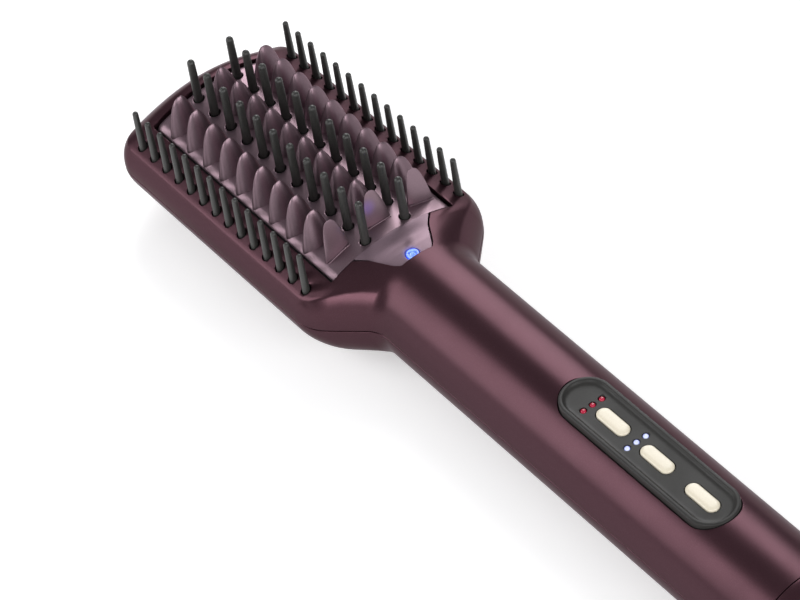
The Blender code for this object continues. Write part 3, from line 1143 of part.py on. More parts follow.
def wiring(assembly):
    """The wires from the power board to the heater, the sensor and the control board."""
    start_y = POWER_BOARD_Y - HEATER_WIRE_RADIUS * 2
    start_z = POWER_BOARD_TOP_Z + HEATER_WIRE_RADIUS + CLEARANCE
    side = BOSS_RADIUS + ION_BLOCK_HALF_WIDTH / 2 + HEATER_WIRE_RADIUS * 2
    neck_y = ion_block_ys()[0]
    over = SHIELD_TOP_Z + HEATER_WIRE_RADIUS * 2
    heater_share, sensor_share = NECK_SPREAD_SHARES
    tab_x = HEATER_HALF_WIDTH - HEATER_WIRE_RADIUS
    tab_y = PLATE_MIDDLE_Y - HEATERS_LENGTH / 2 - HEATER_SPACING - CLEARANCE
    entry_z = (CLAMP_Z + CROWN_Z - CARRIER_DROP - CARRIER_THICKNESS) / 2
    for name, sign, z, finish in (("live", 1, UPPER_ELECTRODE_Z, WIRE_RED),
                                  ("neutral", -1, LOWER_ELECTRODE_Z, WIRE_BLUE)):
        route = [(sign * side, start_y, start_z),
                 (sign * side, start_y + POWER_POST_SETBACK * 2, start_z + CASING_WALL),
                 (sign * side, neck_y - ION_BLOCK_LENGTH, over - CASING_WALL),
                 (sign * side * heater_share, neck_y, over),
                 (sign * side, neck_y + ION_BLOCK_LENGTH, over + CASING_WALL),
                 (sign * tab_x, PLATE_NEAR_Y - HEATER_SPACING, entry_z),
                 (sign * tab_x, PLATE_NEAR_Y + CARRIER_INNER_LAP, entry_z),
                 (sign * tab_x, tab_y, z - ELECTRODE_THICKNESS / 2)]
        assembly.add("heater_wire_" + name, wire(route, HEATER_WIRE_RADIUS), finish)
    sensor_z = dome_z(SENSOR_X + SENSOR_RADIUS) - PLATE_THICKNESS - CLEARANCE - SENSOR_RADIUS
    low_z = BOARD_BOTTOM_Z - SIGNAL_WIRE_RADIUS
    route = [(SENSOR_X, PLATE_MIDDLE_Y - SENSOR_LENGTH / 2 - CLEARANCE, sensor_z),
             (SENSOR_X, PLATE_MIDDLE_Y - SENSOR_LENGTH, sensor_z),
             (SENSOR_X, PLATE_NEAR_Y + HEATER_LENGTH / 2, low_z + SENSOR_RADIUS),
             (SENSOR_X - SENSOR_RADIUS, PLATE_NEAR_Y, low_z),
             (side * sensor_share, neck_y, low_z),
             (side, BOSS_YS[1], low_z),
             (side, BOARD_FRONT_Y + SENSOR_LENGTH * 2, low_z),
             (side, BOARD_FRONT_Y + SENSOR_LENGTH, BOARD_BOTTOM_Z),
             (side, BOARD_FRONT_Y + CLEARANCE, BOARD_BOTTOM_Z + BOARD_THICKNESS / 2)]
    assembly.add("sensor_wire", wire(route, SIGNAL_WIRE_RADIUS), WIRE_WHITE)
    y = POWER_BOARD_Y - POWER_BOARD_LENGTH / 2
    route = [(-side, y, BOARD_BOTTOM_Z - CLEARANCE), (-side - SIGNAL_WIRE_RADIUS * 2, y, SEAM_Z),
             (-side, y, POWER_BOARD_TOP_Z + CLEARANCE)]
    assembly.add("link_wire", wire(route, SIGNAL_WIRE_RADIUS), WIRE_RED)


def main():
    clear_scene()
    assembly = Assembly("heated_brush")
    casing(assembly)
    heating_plate(assembly)
    plate_carrier(assembly)
    pin_strips(assembly)
    heater_stack(assembly)
    heat_sensors(assembly)
    ion_parts(assembly)
    controls(assembly)
    power_supply(assembly)
    tail(assembly)
    wiring(assembly)


if __name__ == "__main__":
    main()
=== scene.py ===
"""Looks of the heated straightening brush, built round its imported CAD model.

Each sub-assembly of the brush is a class that holds its sizes and builds and dresses its
own meshes. The materials are node-based. All lengths are metres, +Y points to the tip of
the head, and +Z is the side with the pins.
"""

from __future__ import annotations

import logging
import math
from dataclasses import dataclass, field
from enum import Enum
from typing import Callable

import bmesh
import bpy
from mathutils import Matrix, Vector
from mathutils.bvhtree import BVHTree


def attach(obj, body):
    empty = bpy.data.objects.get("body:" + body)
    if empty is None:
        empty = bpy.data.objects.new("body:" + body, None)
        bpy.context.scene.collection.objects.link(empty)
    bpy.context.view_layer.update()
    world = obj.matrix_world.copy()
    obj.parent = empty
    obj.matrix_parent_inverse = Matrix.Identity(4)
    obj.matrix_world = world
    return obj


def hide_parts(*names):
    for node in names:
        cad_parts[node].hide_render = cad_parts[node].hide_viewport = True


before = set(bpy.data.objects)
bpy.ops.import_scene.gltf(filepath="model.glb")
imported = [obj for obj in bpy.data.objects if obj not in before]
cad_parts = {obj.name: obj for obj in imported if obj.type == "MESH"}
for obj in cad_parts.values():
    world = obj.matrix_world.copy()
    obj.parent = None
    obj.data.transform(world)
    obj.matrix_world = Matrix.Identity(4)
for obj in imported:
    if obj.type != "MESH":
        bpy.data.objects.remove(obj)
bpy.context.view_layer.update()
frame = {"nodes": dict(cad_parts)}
LOG = logging.getLogger("heated_brush")

MIDDLE_RANGE = (0.3, 0.7)
FLAKE_RANGE = (0.7, 1.0)
FINE_DETAIL = 3.0
BROAD_DETAIL = 2.0
ROUND_STEPS = 6
LIP_ANGLES = (0, 18, 36, 54, 68)
LIP_FLARE_SHARE = 1.6
LIP_RISE_SHARE = 0.40
LIP_TOP_SHARE = 1.8

Colour = tuple[float, float, float]
Profile = tuple[tuple[float, float], ...]
Height = Callable[[float, float], float]


class Side(Enum):
    """The two sides of the brush, seen from its tail."""

    LEFT = -1
    RIGHT = 1


class Half(Enum):
    """The two halves of the casing."""

    FRONT = "front"
    BACK = "back"


class Body(Enum):
    """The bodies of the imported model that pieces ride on."""

    CASING = "casing_body"
    TEMPERATURE = "temperature_button_body"
    ION = "ion_button_body"
    POWER = "power_button_body"
    GLAND = "gland_body"


@dataclass(frozen=True)
class Level:
    """One ring of a stacked body: how far the outline grows, and how high the ring is."""

    grow: float
    height: float


@dataclass(frozen=True)
class BrushShape:
    """The casing's shape: the sizes and surfaces that several pieces follow."""

    tip_y: float = 0.16185
    shoulder_y: float = 0.04965
    neck_y: float = 0.03365
    tail_y: float = -0.14385
    seam_z: float = 0.0191
    crown_z: float = 0.0382
    handle_radius: float = 0.0191
    head_half_width: float = 0.0350
    crease_inset: float = 0.0026
    dome_drop: float = 0.00965
    tip_arc_radius: float = 0.075
    tip_corner_radius: float = 0.0100
    shoulder_radius: float = 0.0157
    neck_radius: float = 0.0085
    tip_fall_length: float = 0.0109
    tip_fall_power: float = 1.5
    crease_angle_share: float = 0.47
    back_flat_half_width: float = 0.0140
    back_fullness: float = 1.70
    back_flat_share: float = 0.91
    seam_gap: float = 0.00015
    blend_lead: float = 0.0005
    blend_rest: float = 0.0010
    wall_inset: float = 0.42
    wall_rise: tuple[float, float, float] = (0.13, 0.52, 0.79)
    tip_steps: int = 18
    corner_steps: int = 16
    side_steps: int = 26
    shoulder_steps: int = 26
    flare_steps: int = 3
    neck_steps: int = 12
    handle_steps: int = 44

    @property
    def crease_half_width(self) -> float:
        """Distance from the middle line to the dome's edge."""
        return self.head_half_width - self.crease_inset

    @property
    def dome_radius(self) -> float:
        """Radius of the head's dome across the brush."""
        return self.crease_half_width ** 2 / (2 * self.dome_drop)

    @property
    def spine_end_y(self) -> float:
        """Where the head's middle line ends, at which the strips round the tip meet."""
        return self.tip_y - self.head_half_width

    def dome_z(self, x: float) -> float:
        """Height of the head's domed top at a distance from the middle line."""
        return self.crown_z - x * x / (2 * self.dome_radius)

    def blend(self, y: float) -> float:
        """Share of the handle's round section at a place along the brush.

        Args:
            y: The place.

        Returns:
            From 0 on the head to 1 on the handle.
        """
        start = self.shoulder_y + self.blend_lead
        end = self.neck_y + self.blend_rest
        t = min(1.0, max(0.0, (start - y) / (start - end)))
        return t * t * (3 - 2 * t)

    def top_z(self, x: float, y: float) -> float:
        """Height of the head's top, which falls away towards the tip.

        Args:
            x: Distance from the middle line.
            y: Place along the brush.

        Returns:
            The height of the surface.
        """
        radius = self.tip_arc_radius - self.crease_inset
        middle_y = self.tip_y - self.crease_inset - radius
        ends = [middle_y + math.sqrt(radius ** 2 - at * at) for at in (x, 0)]
        start = ends[1] - self.tip_fall_length
        t = min(1.0, max(0.0, (y - start) / (ends[0] - start)))
        crease_z = self.dome_z(self.crease_half_width)
        return crease_z + (self.dome_z(x) - crease_z) * (1 - t ** self.tip_fall_power)

    def fillet(self, before: Vector, corner: Vector, after: Vector, radius: float,
               steps: int) -> list[Vector]:
        """Points of a round corner between two straight runs.

        Args:
            before: A point on the run that comes in.
            corner: Where the two runs would meet.
            after: A point on the run that goes out.
            radius: Radius of the round.
            steps: Number of straight steps in the round.

        Returns:
            The points from the first tangent point to the last.
        """
        inward = (before - corner).normalized()
        outward = (after - corner).normalized()
        half = inward.angle(outward) / 2
        centre = corner + (inward + outward).normalized() * radius / math.sin(half)
        reach = radius / math.tan(half)
        first = corner + inward * reach - centre
        turn = first.angle_signed(corner + outward * reach - centre)
        turns = [-turn * step / steps for step in range(steps + 1)]
        return [centre + Matrix.Rotation(each, 2) @ first for each in turns]

    def outline(self) -> list[Vector]:
        """Right half of the casing's outline at the parting line, from the tip to the tail.

        Returns:
            Closely spaced points.
        """
        arc_end = self.head_half_width - self.tip_corner_radius
        arc_drop = self.tip_arc_radius - math.sqrt(self.tip_arc_radius ** 2 - arc_end ** 2)
        slope = math.asin(arc_end / self.tip_arc_radius)
        start = Vector((arc_end, self.tip_y - arc_drop))
        corner = Vector((self.head_half_width, start.y - self.tip_corner_radius * math.tan(slope)))
        shoulder = Vector((self.head_half_width, self.shoulder_y))
        neck = Vector((self.handle_radius, self.neck_y))
        tail = Vector((self.handle_radius, self.tail_y))
        corners = self.fillet(start, corner, shoulder, self.tip_corner_radius, self.corner_steps)
        shoulders = self.fillet(corner, shoulder, neck, self.shoulder_radius, self.shoulder_steps)
        necks = self.fillet(shoulder, neck, tail, self.neck_radius, self.neck_steps)
        middle_y = self.tip_y - self.tip_arc_radius
        points = []
        for step in range(self.tip_steps):
            x = corners[0].x * step / self.tip_steps
            points.append(Vector((x, middle_y + math.sqrt(self.tip_arc_radius ** 2 - x * x))))
        runs = ((corners, shoulders[0], self.side_steps), (shoulders, necks[0], self.flare_steps),
                (necks, tail, self.handle_steps))
        for run, following, steps in runs:
            points += run
            points += [run[-1].lerp(following, step / steps) for step in range(1, steps)]
        return points + [tail]

    def stations(self) -> list[tuple[Vector, Vector]]:
        """Each outline point with the direction from it into the casing.

        Returns:
            Pairs of a point and a unit direction.
        """
        points = self.outline()
        pairs = []
        for index, point in enumerate(points):
            before = points[index - 1] if index > 0 else Vector((-points[1].x, points[1].y))
            after = points[index + 1] if index + 1 < len(points) else point * 2 - before
            along = (after - before).normalized()
            pairs.append((point, Vector((along.y, -along.x))))
        return pairs

    def on_handle(self, point: Vector, angle: float) -> Vector:
        """Point of the round handle, as wide as the outline is, at an angle above the seam."""
        height = self.seam_z + self.handle_radius * math.sin(angle)
        return Vector((point.x * math.cos(angle), point.y, height))

    def front_point(self, point: Vector, inward: Vector, share: float) -> Vector:
        """Point of the front half on one strip.

        Args:
            point: The strip's start on the outline.
            inward: Direction into the casing.
            share: From 0 to 1 up the side wall, and from 1 to 2 over the top to the middle line.

        Returns:
            The point in space.
        """
        blend = self.blend(point.y)
        crease_angle = self.crease_angle_share * math.pi / 2
        if share <= 1:
            rest = 1 - share
            start, low, high = self.wall_rise
            inset = 3 * rest * share ** 2 * self.wall_inset + share ** 3
            rise = start * rest ** 3 + 3 * rest ** 2 * share * low + 3 * rest * share ** 2 * high + share ** 3
            plan = point + inward * inset * self.crease_inset
            crest = self.top_z(min(plan.x, self.crease_half_width), plan.y) - self.seam_z
            head = Vector((plan.x, plan.y, self.seam_z + crest * rise))
            handle = self.on_handle(point, crease_angle * rise)
            return head.lerp(handle, blend)
        crease = point + inward * self.crease_inset
        spine = Vector((0, min(crease.y, self.spine_end_y)))
        plan = crease.lerp(spine, share - 1)
        head = Vector((plan.x, plan.y, self.top_z(plan.x, plan.y)))
        angle = crease_angle + (math.pi / 2 - crease_angle) * (share - 1)
        found = head.lerp(self.on_handle(point, angle), blend)
        if share >= 2:
            found.x = 0
        return found

    def back_point(self, point: Vector, share: float) -> Vector:
        """Point of the back half on one strip.

        Args:
            point: The strip's start on the outline.
            share: From 0 to 1 round to the edge of the flat, and from 1 to 2 to the middle line.

        Returns:
            The point in space.
        """
        blend = self.blend(point.y)
        spine = Vector((0, min(point.y, self.spine_end_y)))
        angle = min(share, 1) * math.pi / 2
        power = 2 / self.back_fullness
        inset = 1 - max(math.cos(angle), 0) ** power
        drop = math.sin(angle) ** power
        side_share = 1 - self.back_flat_half_width / self.head_half_width
        plan = point.lerp(spine, side_share * inset)
        head = Vector((plan.x, plan.y, self.seam_z * (1 - drop)))
        found = head.lerp(self.on_handle(point, -angle * self.back_flat_share), blend)
        if share > 1:
            found = found.lerp(Vector((0, spine.y, 0)), share - 1)
        return found


SHAPE = BrushShape()


class NodeBench:
    """The nodes of one material while it is being made."""

    def __init__(self, name: str) -> None:
        """Start a material with its shader.

        Args:
            name: Name of the material.
        """
        self.material = bpy.data.materials.new(name)
        self.material.use_nodes = True
        self.tree = self.material.node_tree
        self.shader = self.tree.nodes["Principled BSDF"]

    def add(self, kind: str, **settings: object) -> bpy.types.Node:
        """Add a node and set its properties.

        Args:
            kind: Blender's name of the node.
            settings: Properties to set on it.

        Returns:
            The new node.
        """
        node = self.tree.nodes.new(kind)
        for name, value in settings.items():
            setattr(node, name, value)
        return node

    def join(self, source: bpy.types.NodeSocket, target: bpy.types.NodeSocket) -> None:
        """Link an output to an input."""
        self.tree.links.new(source, target)

    def place(self, scale: Vector = Vector((1, 1, 1))) -> bpy.types.NodeSocket:
        """Object coordinates, stretched.

        Args:
            scale: Stretch along each axis.

        Returns:
            The socket with the coordinates.
        """
        where = self.add("ShaderNodeTexCoord")
        mapping = self.add("ShaderNodeMapping")
        mapping.inputs["Scale"].default_value = scale
        self.join(where.outputs["Object"], mapping.inputs["Vector"])
        return mapping.outputs["Vector"]

    def noise(self, scale: float, detail: float,
              stretch: Vector = Vector((1, 1, 1))) -> bpy.types.NodeSocket:
        """A noise pattern on object coordinates.

        Args:
            scale: Waves per metre.
            detail: Number of finer layers.
            stretch: Stretch along each axis.

        Returns:
            The socket with the value.
        """
        node = self.add("ShaderNodeTexNoise")
        node.inputs["Scale"].default_value = scale
        node.inputs["Detail"].default_value = detail
        self.join(self.place(stretch), node.inputs["Vector"])
        return node.outputs["Fac"]

    def remap(self, value: bpy.types.NodeSocket, low: float, high: float) -> bpy.types.NodeSocket:
        """A pattern's middle range spread between two numbers.

        Args:
            value: The pattern.
            low: Result where the pattern is low.
            high: Result where it is high.

        Returns:
            The socket with the result.
        """
        node = self.add("ShaderNodeMapRange")
        node.inputs["From Min"].default_value = MIDDLE_RANGE[0]
        node.inputs["From Max"].default_value = MIDDLE_RANGE[1]
        node.inputs["To Min"].default_value = low
        node.inputs["To Max"].default_value = high
        self.join(value, node.inputs["Value"])
        return node.outputs["Result"]

    def mixed(self, share: bpy.types.NodeSocket, first: Colour, second: Colour,
              ends: tuple[float, float] = MIDDLE_RANGE) -> bpy.types.NodeSocket:
        """A colour between two, by a pattern.

        Args:
            share: The pattern.
            first: Colour where the pattern is low.
            second: Colour where it is high.
            ends: Where the pattern counts as low and as high.

        Returns:
            The socket with the colour.
        """
        ramp = self.add("ShaderNodeValToRGB")
        for element, position, colour in zip(ramp.color_ramp.elements, ends, (first, second)):
            element.position = position
            element.color = (*colour, 1)
        self.join(share, ramp.inputs["Fac"])
        return ramp.outputs["Color"]

    def computed(self, operation: str, *terms: bpy.types.NodeSocket | float) -> bpy.types.NodeSocket:
        """The result of a sum.

        Args:
            operation: Blender's name of the sum.
            terms: Its terms in order, sockets or numbers.

        Returns:
            The socket with the result.
        """
        node = self.add("ShaderNodeMath", operation=operation)
        for term, target in zip(terms, node.inputs):
            if isinstance(term, bpy.types.NodeSocket):
                self.join(term, target)
            else:
                target.default_value = term
        return node.outputs["Value"]

    def bump(self, pattern: bpy.types.NodeSocket, strength: float, distance: float) -> None:
        """Raise the surface by a pattern.

        Args:
            pattern: The height pattern.
            strength: From 0 to 1.
            distance: Height of the relief in metres.
        """
        node = self.add("ShaderNodeBump")
        node.inputs["Strength"].default_value = strength
        node.inputs["Distance"].default_value = distance
        self.join(pattern, node.inputs["Height"])
        self.join(node.outputs["Normal"], self.shader.inputs["Normal"])

    def near(self, centre: Vector, reach: float) -> bpy.types.NodeSocket:
        """A share that is 1 at a point and 0 beyond a distance.

        Args:
            centre: The point, in object coordinates.
            reach: The distance.

        Returns:
            The socket with the share.
        """
        where = self.add("ShaderNodeTexCoord")
        away = self.add("ShaderNodeVectorMath", operation="DISTANCE")
        away.inputs[1].default_value = centre
        fall = self.add("ShaderNodeMapRange", interpolation_type="SMOOTHERSTEP")
        fall.inputs["From Min"].default_value = 0
        fall.inputs["From Max"].default_value = reach
        fall.inputs["To Min"].default_value = 1
        fall.inputs["To Max"].default_value = 0
        self.join(where.outputs["Object"], away.inputs[0])
        self.join(away.outputs["Value"], fall.inputs["Value"])
        return fall.outputs["Result"]


@dataclass(frozen=True)
class Finish:
    """A surface with a slight change of colour and gloss, and a fine relief."""

    name: str
    colour: Colour
    second: Colour
    roughness: float
    spread: float = 0.05
    metallic: float = 0.0
    scale: float = 2600.0
    relief: float = 0.00002
    strength: float = 0.25
    coat: float = 0.0
    coat_roughness: float = 0.2
    gleam: float = 0.5
    edge_tint: Colour = (1.0, 1.0, 1.0)
    stretch: tuple[float, float, float] = (1, 1, 1)
    broadness: float = 40.0
    made: dict[str, bpy.types.Material] = field(default_factory=dict, compare=False)

    def material(self) -> bpy.types.Material:
        """The material, made once.

        Returns:
            The material.
        """
        if self.name not in self.made:
            bench = NodeBench(self.name)
            self.dress(bench)
            self.made[self.name] = bench.material
        return self.made[self.name]

    def dress(self, bench: NodeBench) -> None:
        """Set up the shader.

        Args:
            bench: The material's nodes.
        """
        self.grain(bench)
        broad = bench.noise(self.scale / self.broadness, BROAD_DETAIL, Vector(self.stretch))
        rough = bench.remap(broad, self.roughness - self.spread, self.roughness + self.spread)
        bench.join(rough, bench.shader.inputs["Roughness"])
        constants = {"Metallic": self.metallic, "Coat Weight": self.coat,
                     "Coat Roughness": self.coat_roughness, "Specular IOR Level": self.gleam,
                     "Specular Tint": (*self.edge_tint, 1)}
        for name, value in constants.items():
            bench.shader.inputs[name].default_value = value

    def grain(self, bench: NodeBench) -> None:
        """Give the shader its colour and its relief.

        Args:
            bench: The material's nodes.
        """
        fine = bench.noise(self.scale, FINE_DETAIL, Vector(self.stretch))
        bench.join(bench.mixed(fine, self.colour, self.second), bench.shader.inputs["Base Color"])
        bench.bump(fine, self.strength, self.relief)


@dataclass(frozen=True)
class FlakePaint(Finish):
    """Metallic paint with small flakes of the second colour at slightly different tilts."""

    flake_scale: float = 9000.0

    def grain(self, bench: NodeBench) -> None:
        """Give the shader its colour and its relief, from a cell pattern.

        Args:
            bench: The material's nodes.
        """
        cells = bench.add("ShaderNodeTexVoronoi", feature="F1")
        cells.inputs["Scale"].default_value = self.flake_scale
        bench.join(bench.place(), cells.inputs["Vector"])
        channels = bench.add("ShaderNodeSeparateColor")
        bench.join(cells.outputs["Color"], channels.inputs["Color"])
        colour = bench.mixed(channels.outputs["Red"], self.colour, self.second, FLAKE_RANGE)
        bench.join(colour, bench.shader.inputs["Base Color"])
        bench.bump(channels.outputs["Green"], self.strength, self.relief)


@dataclass(frozen=True)
class PaintedLampGlow(Finish):
    """A coated surface with painted light: an emission round one place stands in for the soft coloured light
    that a lamp close by casts on it.
    """

    centre: tuple[float, float, float] = (0, 0, 0)
    reach: float = 0.004
    glow: Colour = (0.10, 0.16, 1.0)
    power: float = 1.0

    def dress(self, bench: NodeBench) -> None:
        """Set up the shader, with the painted glow of the lamp's light round its place.

        Args:
            bench: The material's nodes.
        """
        super().dress(bench)
        # painted light: emission that fades with distance from the lamp's place, on a surface that is no lamp
        share = bench.near(Vector(self.centre), self.reach)
        bench.shader.inputs["Emission Color"].default_value = (*self.glow, 1)
        bench.join(bench.computed("MULTIPLY", share, self.power), bench.shader.inputs["Emission Strength"])


@dataclass(frozen=True)
class LitLens(Finish):
    """A clear lens over a lamp: a bright middle and a deeper colour towards the edge."""

    glow: Colour = (1.0, 0.1, 0.1)
    core: Colour = (1.0, 0.8, 0.8)
    power: float = 1.6
    core_scale: float = 900.0
    core_detail: float = 1.0
    rim_blend: float = 0.45
    speckle: float = 0.35
    clearness: float = 0.15

    def dress(self, bench: NodeBench) -> None:
        """Set up the shader, brighter where the lens faces out and darker at its rim.

        Args:
            bench: The material's nodes.
        """
        super().dress(bench)
        facing = bench.add("ShaderNodeLayerWeight")
        facing.inputs["Blend"].default_value = self.rim_blend
        pattern = bench.noise(self.core_scale, self.core_detail)
        share = bench.computed("MULTIPLY_ADD", pattern, self.speckle, facing.outputs["Facing"])
        bench.join(bench.mixed(share, self.core, self.glow), bench.shader.inputs["Emission Color"])
        bench.shader.inputs["Emission Strength"].default_value = self.power
        bench.shader.inputs["Transmission Weight"].default_value = self.clearness


@dataclass(frozen=True)
class PaleFloor(Finish):
    """A pale floor that glows for the rays that look at it, so that it shows white."""

    glow: float = 0.40

    def dress(self, bench: NodeBench) -> None:
        """Set up the shader, with the glow that only the camera and reflections see.

        Args:
            bench: The material's nodes.
        """
        super().dress(bench)
        rays = bench.add("ShaderNodeLightPath").outputs
        seen = bench.computed("MAXIMUM", rays["Is Camera Ray"], rays["Is Transmission Ray"])
        looked_at = bench.computed("MAXIMUM", seen, rays["Is Glossy Ray"])
        bench.shader.inputs["Emission Color"].default_value = (1, 1, 1, 1)
        bench.join(bench.computed("MULTIPLY", looked_at, self.glow), bench.shader.inputs["Emission Strength"])


class Finishes:
    """Every finish of the brush, by what it is on."""

    PLUM = FlakePaint("plum_paint", (0.062, 0.027, 0.035), (0.078, 0.038, 0.048), 0.30, 0.02, 0.66,
                      gleam=0.50, edge_tint=(0.40, 0.32, 0.35), strength=0.02)
    # painted light on the plate: a faint blue emission round the middle last fin stands in for the ion
    # outlet's blue light there
    PLATE = PaintedLampGlow("mauve_plate", (0.218, 0.150, 0.176), (0.240, 0.167, 0.195), 0.36, 0.03, 0.80,
                     gleam=0.40, edge_tint=(0.70, 0.58, 0.63), strength=0.12,
                     centre=(-0.0022, 0.0552, 0.0455), reach=0.0042, glow=(0.22, 0.12, 1.0), power=0.16)
    # painted light on the apron: a blue emission round the ion outlet stands in for the outlet's light
    # falling on the panel
    APRON = PaintedLampGlow("mauve_apron", (0.210, 0.145, 0.175), (0.228, 0.160, 0.192), 0.42, 0.03, 0.60,
                     gleam=0.40, edge_tint=(0.70, 0.58, 0.63), strength=0.12,
                     centre=(0, 0.0383, 0.0370), reach=0.0040, power=0.5)
    NYLON = Finish("pin_nylon", (0.022, 0.022, 0.021), (0.036, 0.036, 0.033), 0.42, 0.06,
                   scale=1900, strength=0.35)
    INLAY = Finish("inlay_grey", (0.026, 0.025, 0.024), (0.036, 0.035, 0.033), 0.42, 0.05,
                   scale=3400, strength=0.25, gleam=0.22)
    CREAM = Finish("button_cream", (0.80, 0.73, 0.57), (0.86, 0.79, 0.64), 0.34, 0.05,
                   scale=2200, strength=0.15, coat=0.25)
    RED_LIGHT = LitLens("red_light", (0.20, 0.004, 0.02), (0.26, 0.01, 0.03), 0.18,
                        glow=(0.24, 0.001, 0.012), core=(0.80, 0.05, 0.12), power=0.36)
    WHITE_LIGHT = LitLens("white_light", (0.20, 0.22, 0.40), (0.28, 0.31, 0.50), 0.18,
                          glow=(0.10, 0.12, 0.38), core=(0.78, 0.83, 1.0), power=0.75)
    ION_LIGHT = LitLens("ion_light", (0.06, 0.10, 0.55), (0.10, 0.16, 0.65), 0.18,
                        glow=(0.03, 0.07, 0.75), core=(0.35, 0.55, 1.0), power=1.0, core_scale=1500)
    CLEAR = Finish("clear_plastic", (0.70, 0.72, 0.75), (0.78, 0.80, 0.83), 0.12, 0.03, strength=0.1)
    BLACK = Finish("black_plastic", (0.012, 0.012, 0.014), (0.020, 0.020, 0.023), 0.48, strength=0.4)
    RUBBER = Finish("gland_rubber", (0.010, 0.010, 0.011), (0.018, 0.018, 0.019), 0.62,
                    scale=3000, strength=0.5)
    STEEL = Finish("steel", (0.45, 0.45, 0.46), (0.55, 0.55, 0.56), 0.32, 0.06, 1.0,
                   scale=900, strength=0.2, stretch=(1, 14, 14))
    BRASS = Finish("brass", (0.62, 0.43, 0.18), (0.72, 0.52, 0.24), 0.30, 0.06, 1.0,
                   scale=900, strength=0.2, stretch=(1, 10, 1))
    CERAMIC = Finish("ceramic", (0.70, 0.65, 0.56), (0.78, 0.73, 0.65), 0.62, 0.06, scale=2400, strength=0.5)
    MICA = Finish("mica", (0.42, 0.31, 0.17), (0.62, 0.50, 0.32), 0.38, 0.10, scale=500, strength=0.3)
    BOARD = Finish("board_green", (0.012, 0.105, 0.045), (0.018, 0.140, 0.060), 0.38,
                   scale=1500, strength=0.35, coat=0.3)
    FILM = Finish("film_capacitor", (0.48, 0.33, 0.07), (0.56, 0.40, 0.10), 0.35, strength=0.2, coat=0.3)
    TERMINAL = Finish("terminal_blue", (0.03, 0.12, 0.36), (0.05, 0.16, 0.44), 0.42)
    WIRE_RED = Finish("wire_red", (0.38, 0.025, 0.02), (0.46, 0.035, 0.03), 0.45)
    WIRE_BLUE = Finish("wire_blue", (0.03, 0.08, 0.36), (0.04, 0.11, 0.44), 0.45)
    WIRE_WHITE = Finish("wire_white", (0.66, 0.66, 0.62), (0.74, 0.74, 0.70), 0.45)
    FLOOR = PaleFloor("studio_floor", (0.86, 0.86, 0.86), (0.88, 0.88, 0.88), 0.85, 0.04,
                      scale=60, strength=0.05)


def height_at(value: float) -> Height:
    """A level surface at one height, as a function of the place."""
    return lambda x, y: value


def rounded_outline(corners: list[tuple[float, float, float]], step: float) -> list[Vector]:
    """A closed plan outline through corners that each have their own round.

    Args:
        corners: X, Y and radius of each corner, in order.
        step: Longest distance between two points.

    Returns:
        The points, evenly enough spaced to follow a curved surface.
    """
    places = [Vector((x, y)) for x, y, _ in corners]
    rounds = []
    for index, corner in enumerate(places):
        before, after = places[index - 1], places[(index + 1) % len(places)]
        rounds.append(SHAPE.fillet(before, corner, after, corners[index][2], ROUND_STEPS))
    points = []
    for index, arc in enumerate(rounds):
        points += arc
        target = rounds[(index + 1) % len(rounds)][0]
        count = max(1, math.ceil((target - arc[-1]).length / step))
        points += [arc[-1].lerp(target, part / count) for part in range(1, count)]
    return points


def racetrack(half_width: float, front_y: float, end_y: float, step: float = 0.0006) -> list[Vector]:
    """A closed plan outline with round ends.

    Args:
        half_width: Half the width, and the radius of the ends.
        front_y: Y of the front end.
        end_y: Y of the other end.
        step: Longest distance between two points.

    Returns:
        The points.
    """
    turns = max(12, math.ceil(math.pi * half_width / step))
    straight = max(1, math.ceil((front_y - end_y - 2 * half_width) / (step * 2)))
    middles = (front_y - half_width, end_y + half_width)
    points = []
    for start, side, (begin, finish) in ((0.0, -1, middles), (math.pi, 1, middles[::-1])):
        for index in range(turns + 1):
            angle = start + math.pi * index / turns
            points.append(Vector((half_width * math.cos(angle), begin + half_width * math.sin(angle))))
        for index in range(1, straight):
            points.append(Vector((side * half_width, begin + (finish - begin) * index / straight)))
    return points


def circle(radius: float, x: float, y: float, count: int = 24) -> list[Vector]:
    """A closed round plan outline."""
    turns = [2 * math.pi * index / count for index in range(count)]
    return [Vector((x + radius * math.cos(turn), y + radius * math.sin(turn))) for turn in turns]


def outward(outline: list[Vector]) -> list[Vector]:
    """Direction out of a closed outline at each of its points.

    Args:
        outline: The points, counter-clockwise.

    Returns:
        A unit direction for each point.
    """
    found = []
    for index, point in enumerate(outline):
        before, after = outline[index - 1], outline[(index + 1) % len(outline)]
        into, out = (point - before).normalized(), (after - point).normalized()
        along = (into + out).normalized()
        found.append(Vector((along.y, -along.x)) / max(0.5, along.dot(out)))
    return found


def stacked(outline: list[Vector], levels: list[Level], surface: Height) -> bmesh.types.BMesh:
    """A closed body of rings on one plan outline, extruded from level to level.

    Args:
        outline: The plan outline, counter-clockwise.
        levels: Growth of the outline and height over the surface, for each ring.
        surface: Height of the surface that the rings follow.

    Returns:
        The body.
    """
    shape = bmesh.new()
    mark = shape.verts.layers.int.new("station")
    ways = outward(outline)

    def put(vert: bmesh.types.BMVert, level: Level) -> None:
        """Move a vertex to its place on a level."""
        plan = outline[vert[mark]] + ways[vert[mark]] * level.grow
        vert.co = (plan.x, plan.y, surface(plan.x, plan.y) + level.height)

    ring = [shape.verts.new((0, 0, 0)) for _ in outline]
    for index, vert in enumerate(ring):
        vert[mark] = index
        put(vert, levels[0])
    edges = [shape.edges.new((ring[index - 1], vert)) for index, vert in enumerate(ring)]
    bmesh.ops.contextual_create(shape, geom=edges)
    for level in levels[1:]:
        grown = bmesh.ops.extrude_edge_only(shape, edges=edges)["geom"]
        for item in grown:
            if isinstance(item, bmesh.types.BMVert):
                put(item, level)
        edges = [item for item in grown if isinstance(item, bmesh.types.BMEdge) and item.is_boundary]
    bmesh.ops.contextual_create(shape, geom=edges)
    bmesh.ops.recalc_face_normals(shape, faces=shape.faces)
    return shape


